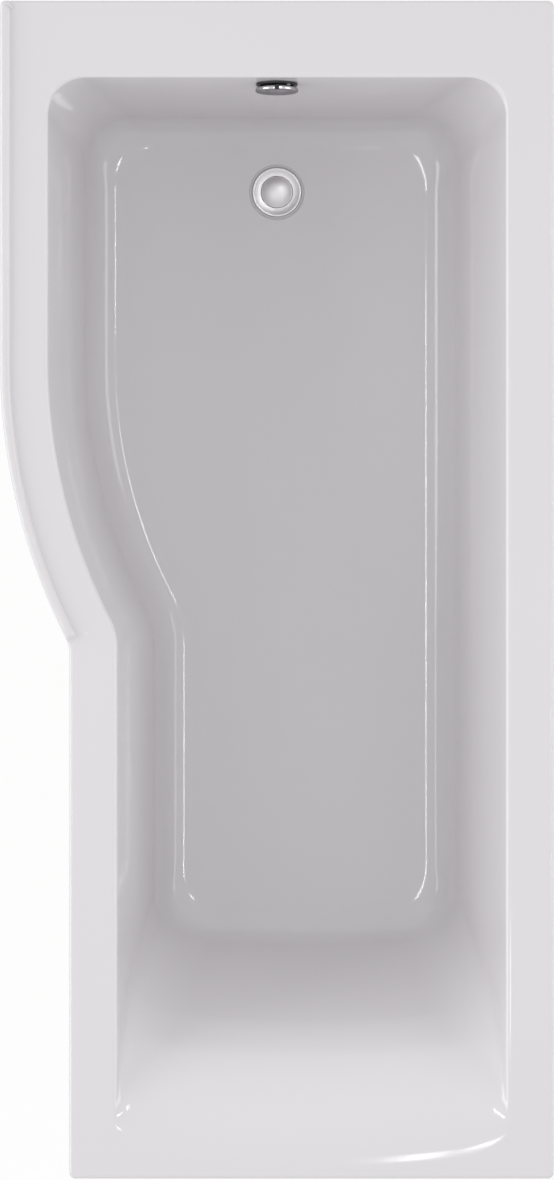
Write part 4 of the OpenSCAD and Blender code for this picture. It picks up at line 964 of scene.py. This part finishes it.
class BATH_OT_waste_trim(bpy.types.Operator):
    """Turns the waste's dished flange with its cross, and the pop-up plug's dome"""

    bl_idname = "bath.waste_trim"
    bl_label = "Waste trim"

    def execute(self, context):
        f = fittings()
        z, r = f.flange_z, f.flange / 2
        tail = f.tail / 2
        bore = tail - 0.003
        mouth = f.plug / 2 + 0.0008
        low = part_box("waste_flange")[0].z
        crest = r - 0.0028
        dish = []
        for k in range(15):
            s = k / 14
            dish.append((mouth + (crest - mouth) * s, z + 0.0002 + 0.0028 * s**1.6 * (1.06 - 0.06 * s)))
        profile = [
            (bore, low),
            (tail - 0.0001, low),
            (tail - 0.0001, z),
            (r - 0.001, z),
            (r - 0.0003, z + 0.0003),
            (r, z + 0.0009),
            (r - 0.0001, z + 0.0016),
            (r - 0.0005, z + 0.0023),
            (r - 0.0012, z + 0.00275),
            (r - 0.002, z + 0.003),
            *reversed(dish),
            (mouth - 0.0006, z - 0.0006),
            (bore, z - 0.004),
        ]
        hub = prism(48, 0.007, z - 0.02, z - 0.012)
        long, half, stem_bore = bore + 0.0005, 0.0015, 0.00405
        arms = [
            moved(block((-long, -half, z - 0.02), (long, half, z - 0.014)), Matrix.Rotation(a, 4, "Z"))
            for a in (math.pi / 4, -math.pi / 4)
        ]
        cross = carved(hub, arms, "UNION")
        cross = carved(cross, [prism(48, stem_bore, z - 0.03, z)])
        ring = moved(joined(spun(profile, 160), cross), waste_place())
        piece("turned_flange", ring, "chrome", ["waste_flange"], look="turned_chrome", sharp=28)

        plug, base = f.plug / 2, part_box("plug_dome")[0].z
        edge, rise = 0.002, f.plug_rise
        ball = (plug**2 + rise**2) / (2 * rise)
        top = base + edge + rise
        reach = math.asin((plug - 0.0008) / ball)
        cap = [(ball * math.sin(reach * k / 20), top - sag(ball, reach * k / 20)) for k in range(21)]
        low_cap = cap[-1][1]
        profile = [(0, base), (plug - 0.0004, base), (plug, base + 0.0004)]
        profile += [(plug, low_cap - 0.0006), (plug - 0.0002, low_cap - 0.0001), *reversed(cap)]
        dome = moved(spun(profile, 128, closed=False), waste_place())
        piece("plug_cap", dome, "chrome", ["plug_dome"], "plug", "domed_chrome", sharp=40)
        return {"FINISHED"}


class BATH_OT_overflow_trim(bpy.types.Operator):
    """Turns the overflow's knob, crowned and notched at its top, with a black insert that paints the notch's
    shade dark
    """

    bl_idname = "bath.overflow_trim"
    bl_label = "Overflow knob"

    def execute(self, context):
        f = fittings()
        r, crown = f.knob / 2, f.knob_crown
        fit_gap, plate, knob_gap, skirt = 0.0002, 0.0025, 0.005, 0.0012
        back = fit_gap + plate + knob_gap - skirt
        front = back + f.knob_edge
        hub, bore = 0.008, 0.004025
        face = [(r * 0.955 * k / 16, front + crown * (1 - (k / 16) ** 2.2)) for k in range(17)]
        profile = [
            (bore, 0.0031),
            (hub, 0.0031),
            (hub, back),
            (r - 0.0025, back),
            (r - 0.0012, back + 0.0005),
            (r - 0.0004, back + 0.0014),
            (r, back + 0.0026),
            (r, front - 0.0014),
            (r - 0.0003, front - 0.0007),
            (r - 0.0008, front - 0.0002),
            *reversed(face),
            (0, back + 0.003),
            (bore, back + 0.003),
        ]
        half, deep, past = 0.0031, 0.004, 0.001
        notch = block((-half, r - deep, back - past), (half, r + deep, front + crown + past), 0.0006, 3)
        knob = moved(carved(spun(profile, 160), [notch]), overflow_place())
        piece("turned_knob", knob, "chrome", ["overflow_knob"], "knob", sharp=32, weld=False)
        # The black piece in the notch is painted shade: it makes the notch read dark, as the dark gap behind
        # the knob would show through it.
        gap = 0.0002
        notch_shade = block((gap - half, r - deep, back + gap), (half - gap, r - 0.0031, front + gap), 0.0002, 1)
        piece("notch_painted_shade", moved(notch_shade, overflow_place()), "black_plastic", body="knob")
        return {"FINISHED"}


class BATH_OT_hose(bpy.types.Operator):
    """Winds the ribbed overflow hose from the cup behind the wall down to the waste's port"""

    bl_idname = "bath.hose"
    bl_label = "Overflow hose"

    def execute(self, context):
        f = fittings()
        low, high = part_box("overflow_hose")
        bore, ribs_r = 0.0142, f.hose
        core, cuff_r, cuff = ribs_r - 0.0026, bore + 0.0022, 0.022
        axis_y, bend = high.y - ribs_r, f.hose_bend
        turn_z = low.z + ribs_r + bend
        upright, curve, level = high.z - turn_z, bend * math.pi / 2, axis_y - bend - low.y
        total = upright + curve + level
        free = total - 2 * cuff
        pitch = free / f.hose_ribs
        outside = [(cuff_r, 0), (cuff_r, cuff - 0.001), (core, cuff)]
        for k in range(f.hose_ribs):
            start = cuff + k * pitch
            for share in (0.12, 0.22, 0.34, 0.46, 0.58, 0.7, 0.82, 0.92):
                swell = math.sin(math.pi * ((share - 0.12) / 0.72)) ** 0.55 if share < 0.84 else 0
                outside.append((core + (ribs_r - core) * swell, start + share * pitch))
        outside += [(core, total - cuff), (cuff_r, total - cuff + 0.001), (cuff_r, total), (bore, total)]
        inside = [(bore, total * k / 60) for k in range(59, -1, -1)]
        bm = spun(outside + inside, 40)
        for v in bm.verts:
            s = v.co.z
            if s < upright:
                v.co = Vector((v.co.x, axis_y + v.co.y, high.z - s))
            elif s < upright + curve:
                a = (s - upright) / bend
                reach = bend + v.co.y
                v.co = Vector((v.co.x, axis_y - bend + reach * math.cos(a), turn_z - reach * math.sin(a)))
            else:
                past = s - upright - curve
                v.co = Vector((v.co.x, axis_y - bend - past, turn_z - bend - v.co.y))
        piece("ribbed_hose", bm, "grey_plastic", ["overflow_hose"], sharp=60)
        return {"FINISHED"}


class BATH_OT_cable(bpy.types.Operator):
    """Sweeps the control cable's sheath along its route"""

    bl_idname = "bath.cable"
    bl_label = "Control cable"

    def execute(self, context):
        f = fittings()
        top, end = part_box("cable_gland_overflow"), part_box("cable_gland_waste")
        high, tip = (top[0].z + top[1].z) / 2, (end[0].z + end[1].z) / 2
        out = Vector(((top[0].x + top[1].x) / 2, (top[0].y + top[1].y) / 2, high))
        home = Vector((0, (end[0].y + end[1].y) / 2, tip))
        side, low, reach, bend = 0.082, tip + 0.004, 0.06, 0.036
        corners = [
            out,
            out + Vector((reach, 0, 0)),
            Vector((out.x + reach, out.y, low + 0.01)),
            Vector((side, f.waste_y + 0.06, low)),
            Vector((side, home.y - reach - 0.01, low)),
            Vector((0, home.y - reach - 0.01, tip)),
            home,
        ]
        path = [corners[0]]
        for a, b, c in zip(corners, corners[1:], corners[2:]):
            p, q = b + (a - b).normalized() * bend, b + (c - b).normalized() * bend
            shares = [k / 15 for k in range(16)]
            path += [p * (1 - s) ** 2 + b * 2 * s * (1 - s) + q * s * s for s in shares]
        path.append(corners[-1])
        curve = bpy.data.curves.new("sheath_route", "CURVE")
        curve.dimensions = "3D"
        curve.bevel_depth, curve.bevel_resolution, curve.use_fill_caps = f.cable / 2, 5, True
        spline = curve.splines.new("POLY")
        spline.points.add(len(path) - 1)
        for point, at in zip(spline.points, path):
            point.co = (*at, 1)
        route = bpy.data.objects.new("sheath_route", curve)
        bpy.context.scene.collection.objects.link(route)
        seen = bpy.context.evaluated_depsgraph_get()
        bm = bmesh.new()
        bm.from_mesh(route.evaluated_get(seen).to_mesh())
        bpy.data.objects.remove(route)
        bpy.data.curves.remove(curve)
        piece("cable_jacket", bm, "black_plastic", ["cable_sheath"], sharp=50)
        return {"FINISHED"}


class BATH_OT_feet(bpy.types.Operator):
    """Cuts the threaded studs, turns the foot pads and chamfers the nuts"""

    bl_idname = "bath.feet"
    bl_label = "Feet"

    def thread(self, low, high):
        """One turn of thread, doubled until it is long enough, then cut square at both ends"""
        f = fittings()
        crest, root, pitch, steps = f.stud / 2 - 0.00005, f.stud / 2 - 0.00085, f.thread, 20
        shape = [(root, 0.0), (root, 0.12), (crest, 0.45), (crest, 0.6), (root, 0.93), (root, 1.0)]
        profile = [(r, low.z + (s - 2) * pitch) for r, s in shape]
        bm = swept(profile, steps, closed=False, rise=pitch / steps)
        turns = 1
        while turns * pitch < high.z - low.z + 3 * pitch:
            copy = bmesh.ops.duplicate(bm, geom=bm.verts[:] + bm.edges[:] + bm.faces[:])["geom"]
            verts = [part for part in copy if isinstance(part, bmesh.types.BMVert)]
            bmesh.ops.translate(bm, vec=(0, 0, turns * pitch), verts=verts)
            turns *= 2
        bmesh.ops.remove_doubles(bm, verts=bm.verts, dist=1e-5)
        for z, way in ((low.z, -1), (high.z, 1)):
            geom = bm.verts[:] + bm.edges[:] + bm.faces[:]
            bmesh.ops.bisect_plane(bm, geom=geom, plane_co=(0, 0, z), plane_no=(0, 0, way), clear_outer=True)
            rim = [e for e in bm.edges if e.is_boundary and all(abs(v.co.z - z) < 1e-6 for v in e.verts)]
            bmesh.ops.holes_fill(bm, edges=rim, sides=0)
        bmesh.ops.recalc_face_normals(bm, faces=bm.faces)
        return bm

    def pad(self, height):
        """A moulded foot: a dished skirt, a shoulder and a neck that holds the stud"""
        base = [(0, 0), (0.0235, 0), (0.0252, 0.0006), (0.026, 0.0018), (0.026, 0.0045), (0.0254, 0.0056)]
        flare = [(0.024, 0.0064), (0.0214, 0.0071), (0.0185, 0.0079), (0.0162, 0.0088), (0.0142, 0.0099)]
        flare += [(0.0128, 0.0112), (0.0118, 0.0128)]
        neck = [(0.0112, 0.0146), (0.011, 0.0165), (0.011, height - 0.0018), (0.0106, height - 0.0008)]
        top = [(0.0098, height), (0.0056, height), (0.00505, height - 0.0006), (0.00505, 0.008), (0, 0.008)]
        return spun(base + flare + neck + top, 72, closed=False)

    def nut(self, low, high, flats, turned):
        """A hexagon nut, chamfered at both faces, with its bore"""
        corner, ring, lead = flats / math.sqrt(3), flats / 2 - 0.0003, 0.001
        slope, wide = math.tan(math.radians(30)), corner + 0.0001
        lower = [(0, low - lead), (ring - lead / slope, low - lead), (wide, low + (wide - ring) * slope)]
        upper = [(wide, high - (wide - ring) * slope), (ring - lead / slope, high + lead), (0, high + lead)]
        drum = spun(lower + upper, 72, closed=False)
        chamfered = carved(prism(6, corner, low, high, turned), [drum], "INTERSECT")
        return carved(chamfered, [prism(48, fittings().stud / 2, low - lead, high + lead)])

    def execute(self, context):
        for k in range(1, 6):
            body = f"foot_{k}"
            low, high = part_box(f"foot_stud_{k}")
            at = Matrix.Translation(((low.x + high.x) / 2, (low.y + high.y) / 2, 0))
            stud = moved(self.thread(low, high), at)
            plated = {"slot": "zinc_steel", "look": "bright_steel", "weld": False}
            piece(f"threaded_stud_{k}", stud, replaces=[f"foot_stud_{k}"], body=body, sharp=40, **plated)
            pad = moved(self.pad(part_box(f"foot_pad_{k}")[1].z), at)
            piece(f"turned_pad_{k}", pad, "black_plastic", [f"foot_pad_{k}"], body, sharp=40)
            low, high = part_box(f"foot_nuts_{k}")
            size, tall = high - low, fittings().nut
            flats, turned = min(size.x, size.y), 0 if size.x < size.y else math.pi / 6
            nuts = ((low.z, low.z + tall), (high.z - tall, high.z))
            pair = moved(joined(*(self.nut(*span, flats, turned) for span in nuts)), at)
            piece(f"hexagon_nuts_{k}", pair, replaces=[f"foot_nuts_{k}"], sharp=25, **plated)
        return {"FINISHED"}


class BATH_OT_carried(bpy.types.Operator):
    """Gives every piece that is carried over from the frame its finish"""

    bl_idname = "bath.carried"
    bl_label = "Carried-over pieces"

    def execute(self, context):
        slots = {part["node"]: part["material_slot"] for part in frame["record"]["subparts"]}
        for name, obj in frame["nodes"].items():
            for holder in obj.material_slots:
                holder.link = "OBJECT"
                holder.material = finish(slots[name])
        return {"FINISHED"}


class BATH_OT_stage(bpy.types.Operator):
    """Sets the camera straight above, the plain pale floor, the sky and the lamps. The floor lies at the
    feet's longest reach, so that it hides no pad at any height of the feet."""

    bl_idname = "bath.stage"
    bl_label = "Stage"

    def lamp(self, name, at, aim, size, radiance):
        """An area lamp that faces a point, as bright as its radiance says from any side"""
        data = bpy.data.lights.new(name, "AREA")
        data.shape, data.size, data.size_y = "RECTANGLE", size[0], size[1]
        data.energy = radiance * math.pi * size[0] * size[1]
        obj = bpy.data.objects.new(name, data)
        obj.location = at
        obj.rotation_mode = "QUATERNION"
        obj.rotation_quaternion = (Vector(aim) - Vector(at)).to_track_quat("-Z", "Y")
        bpy.context.scene.collection.objects.link(obj)
        return obj

    def execute(self, context):
        scene = context.scene
        scene.view_settings.view_transform = "Standard"
        half_angle, picture_height = math.radians(1.5), 1.70305
        data = bpy.data.cameras.new("overhead")
        data.sensor_width = 36
        data.lens = data.sensor_width / 2 / math.tan(half_angle)
        high = picture_height / 2 / math.tan(half_angle)
        data.clip_start, data.clip_end = 1, 100
        camera = bpy.data.objects.new("overhead", data)
        camera.location = (0.0002, -0.0005, tub().rim_height + high)
        scene.collection.objects.link(camera)
        scene.camera = camera

        bm = bmesh.new()
        bmesh.ops.create_circle(bm, cap_ends=True, radius=30, segments=64)
        mesh = bpy.data.meshes.new("floor")
        bm.to_mesh(mesh)
        bm.free()
        floor = bpy.data.objects.new("floor", mesh)
        scene.collection.objects.link(floor)
        mesh.materials.append(self.white_floor())
        feet = [joint for joint in frame["joints"] if joint["name"].startswith("foot_height")]
        floor.location.z = -max(joint["range_m"][1] for joint in feet)
        self.sky()
        top, foot, bright = 3.33, 0.15, 16  # the near lamps' height, the well's foot and the strips' radiance
        lamps = {
            "strip_wall_side_wide": ((1.03, 0.574, top), (0, 0.574, foot), (0.2, 0.12), bright),
            "strip_wall_side_narrow": ((1.09, -0.235, top), (0, -0.235, foot), (0.53, 0.12), bright),
            "strip_shower_side": ((-0.78, 0.074, top), (0, 0.074, foot), (0.97, 0.12), bright),
            "spot_backrest_roll": ((0.2, -0.62, top), (0.2, -0.8, 0.56), (0.05, 0.2), bright),
            "softbox_shower_side": ((-5.2, 0, 3.4), (0, 0, 0.4), (3, 3), 3.57),
            "softbox_wall_side": ((5.2, 0, 3.4), (0, 0, 0.4), (3, 3), 2.37),
        }
        for name, settings in lamps.items():
            self.lamp(name, *settings)
        gleam = self.lamp("gleam_on_chrome", (1.0, 1.45, top), (0, fittings().waste_y, foot), (0.7, 0.7), 10)
        gleam.visible_diffuse = False
        chrome = bpy.data.collections.new("chrome_pieces")
        for obj in scene.objects:
            if any(slot.material and slot.material.name.endswith("chrome") for slot in obj.material_slots):
                chrome.objects.link(obj)
        gleam.light_linking.receiver_collection = chrome
        return {"FINISHED"}

    def seen(self, tree):
        """1 for what the camera, a reflection or glass sees, 0 for the light that falls on the object"""
        path = node(tree, "LightPath").outputs
        direct = maths(tree, "MAXIMUM", path["Is Camera Ray"], path["Is Glossy Ray"])
        return maths(tree, "MAXIMUM", direct, path["Is Transmission Ray"])

    def white_floor(self):
        """A pale matt floor that is mostly plain white to look at and still keeps the bath's shadow"""
        material = bpy.data.materials.new("white_floor")
        material.use_nodes = True
        tree = material.node_tree
        tree.nodes.clear()
        white = maths(tree, "MULTIPLY", self.seen(tree), 0.94)
        matt = node(tree, "BsdfDiffuse", {"Color": (0.8, 0.8, 0.8, 1)}).outputs[0]
        glow = node(tree, "Emission", {"Color": (1, 1, 1, 1), "Strength": 1.0}).outputs[0]
        blend = node(tree, "MixShader", {0: white, 1: matt, 2: glow})
        node(tree, "OutputMaterial", {"Surface": blend.outputs[0]})
        return material

    def sky(self):
        """A plain white sky to look at. Its light on the object is fuller low down, as from the walls of a
        pale room, and fuller from the waste end."""
        world = bpy.data.worlds.new("pale_studio")
        bpy.context.scene.world = world
        world.use_nodes = True
        tree = world.node_tree
        tree.nodes.clear()
        way = node(tree, "SeparateXYZ", {"Vector": node(tree, "TexCoord").outputs["Object"]}).outputs
        height = maths(tree, "MAXIMUM", way["Z"], 0.06)

        def part(base, east, north, power):
            """Light that leans east and north, times a power of the height"""
            sideways = maths(tree, "MULTIPLY", way["X"], east)
            lean = maths(tree, "ADD", sideways, maths(tree, "MULTIPLY", way["Y"], north))
            lean = maths(tree, "ADD", lean, base)
            return maths(tree, "MULTIPLY", lean, maths(tree, "POWER", height, power))

        low_light = part(base=0.395, east=-0.051, north=-0.097, power=-0.5)
        light = maths(tree, "ADD", part(base=0.215, east=0, north=0.215, power=0), low_light)
        light = maths(tree, "MULTIPLY", light, maths(tree, "GREATER_THAN", way["Z"], 0.0))
        level = node(tree, "Mix", {0: self.seen(tree), 2: light, 3: 1.0}, data_type="FLOAT")
        sky = node(tree, "Background", {"Color": (1, 1, 1, 1), "Strength": level.outputs[0]})
        node(tree, "OutputWorld", {"Surface": sky.outputs[0]})


OPERATORS = (
    BATH_OT_tub,
    BATH_OT_laminate,
    BATH_OT_battens,
    BATH_OT_waste_trim,
    BATH_OT_overflow_trim,
    BATH_OT_hose,
    BATH_OT_cable,
    BATH_OT_feet,
    BATH_OT_carried,
    BATH_OT_stage,
)


class BATH_PT_panel(bpy.types.Panel):
    """Lists the pieces in the order in which they are made"""

    bl_idname = "BATH_PT_panel"
    bl_label = "P-shaped shower bath"
    bl_space_type = "VIEW_3D"
    bl_region_type = "UI"
    bl_category = "Bath"

    def draw(self, context):
        column = self.layout.column()
        for operator in OPERATORS:
            column.operator(operator.bl_idname)
        for sizes in (context.scene.bath_tub, context.scene.bath_fittings, context.scene.bath_finishes):
            box = self.layout.box()
            for name in sizes.__annotations__:
                box.prop(sizes, name)


GROUPS = {"bath_tub": TubSizes, "bath_fittings": FittingSizes, "bath_finishes": Finishes}


def register():
    for sizes in GROUPS.values():
        bpy.utils.register_class(sizes)
    for name, sizes in GROUPS.items():
        setattr(bpy.types.Scene, name, PointerProperty(type=sizes))
    for operator in OPERATORS:
        bpy.utils.register_class(operator)
    bpy.utils.register_class(BATH_PT_panel)


def unregister():
    bpy.utils.unregister_class(BATH_PT_panel)
    for operator in reversed(OPERATORS):
        bpy.utils.unregister_class(operator)
    for name, sizes in reversed(GROUPS.items()):
        delattr(bpy.types.Scene, name)
        bpy.utils.unregister_class(sizes)


def main():
    register()
    for operator in OPERATORS:
        group_name, _, call = operator.bl_idname.partition(".")
        getattr(getattr(bpy.ops, group_name), call)()


if __name__ == "__main__":
    main()
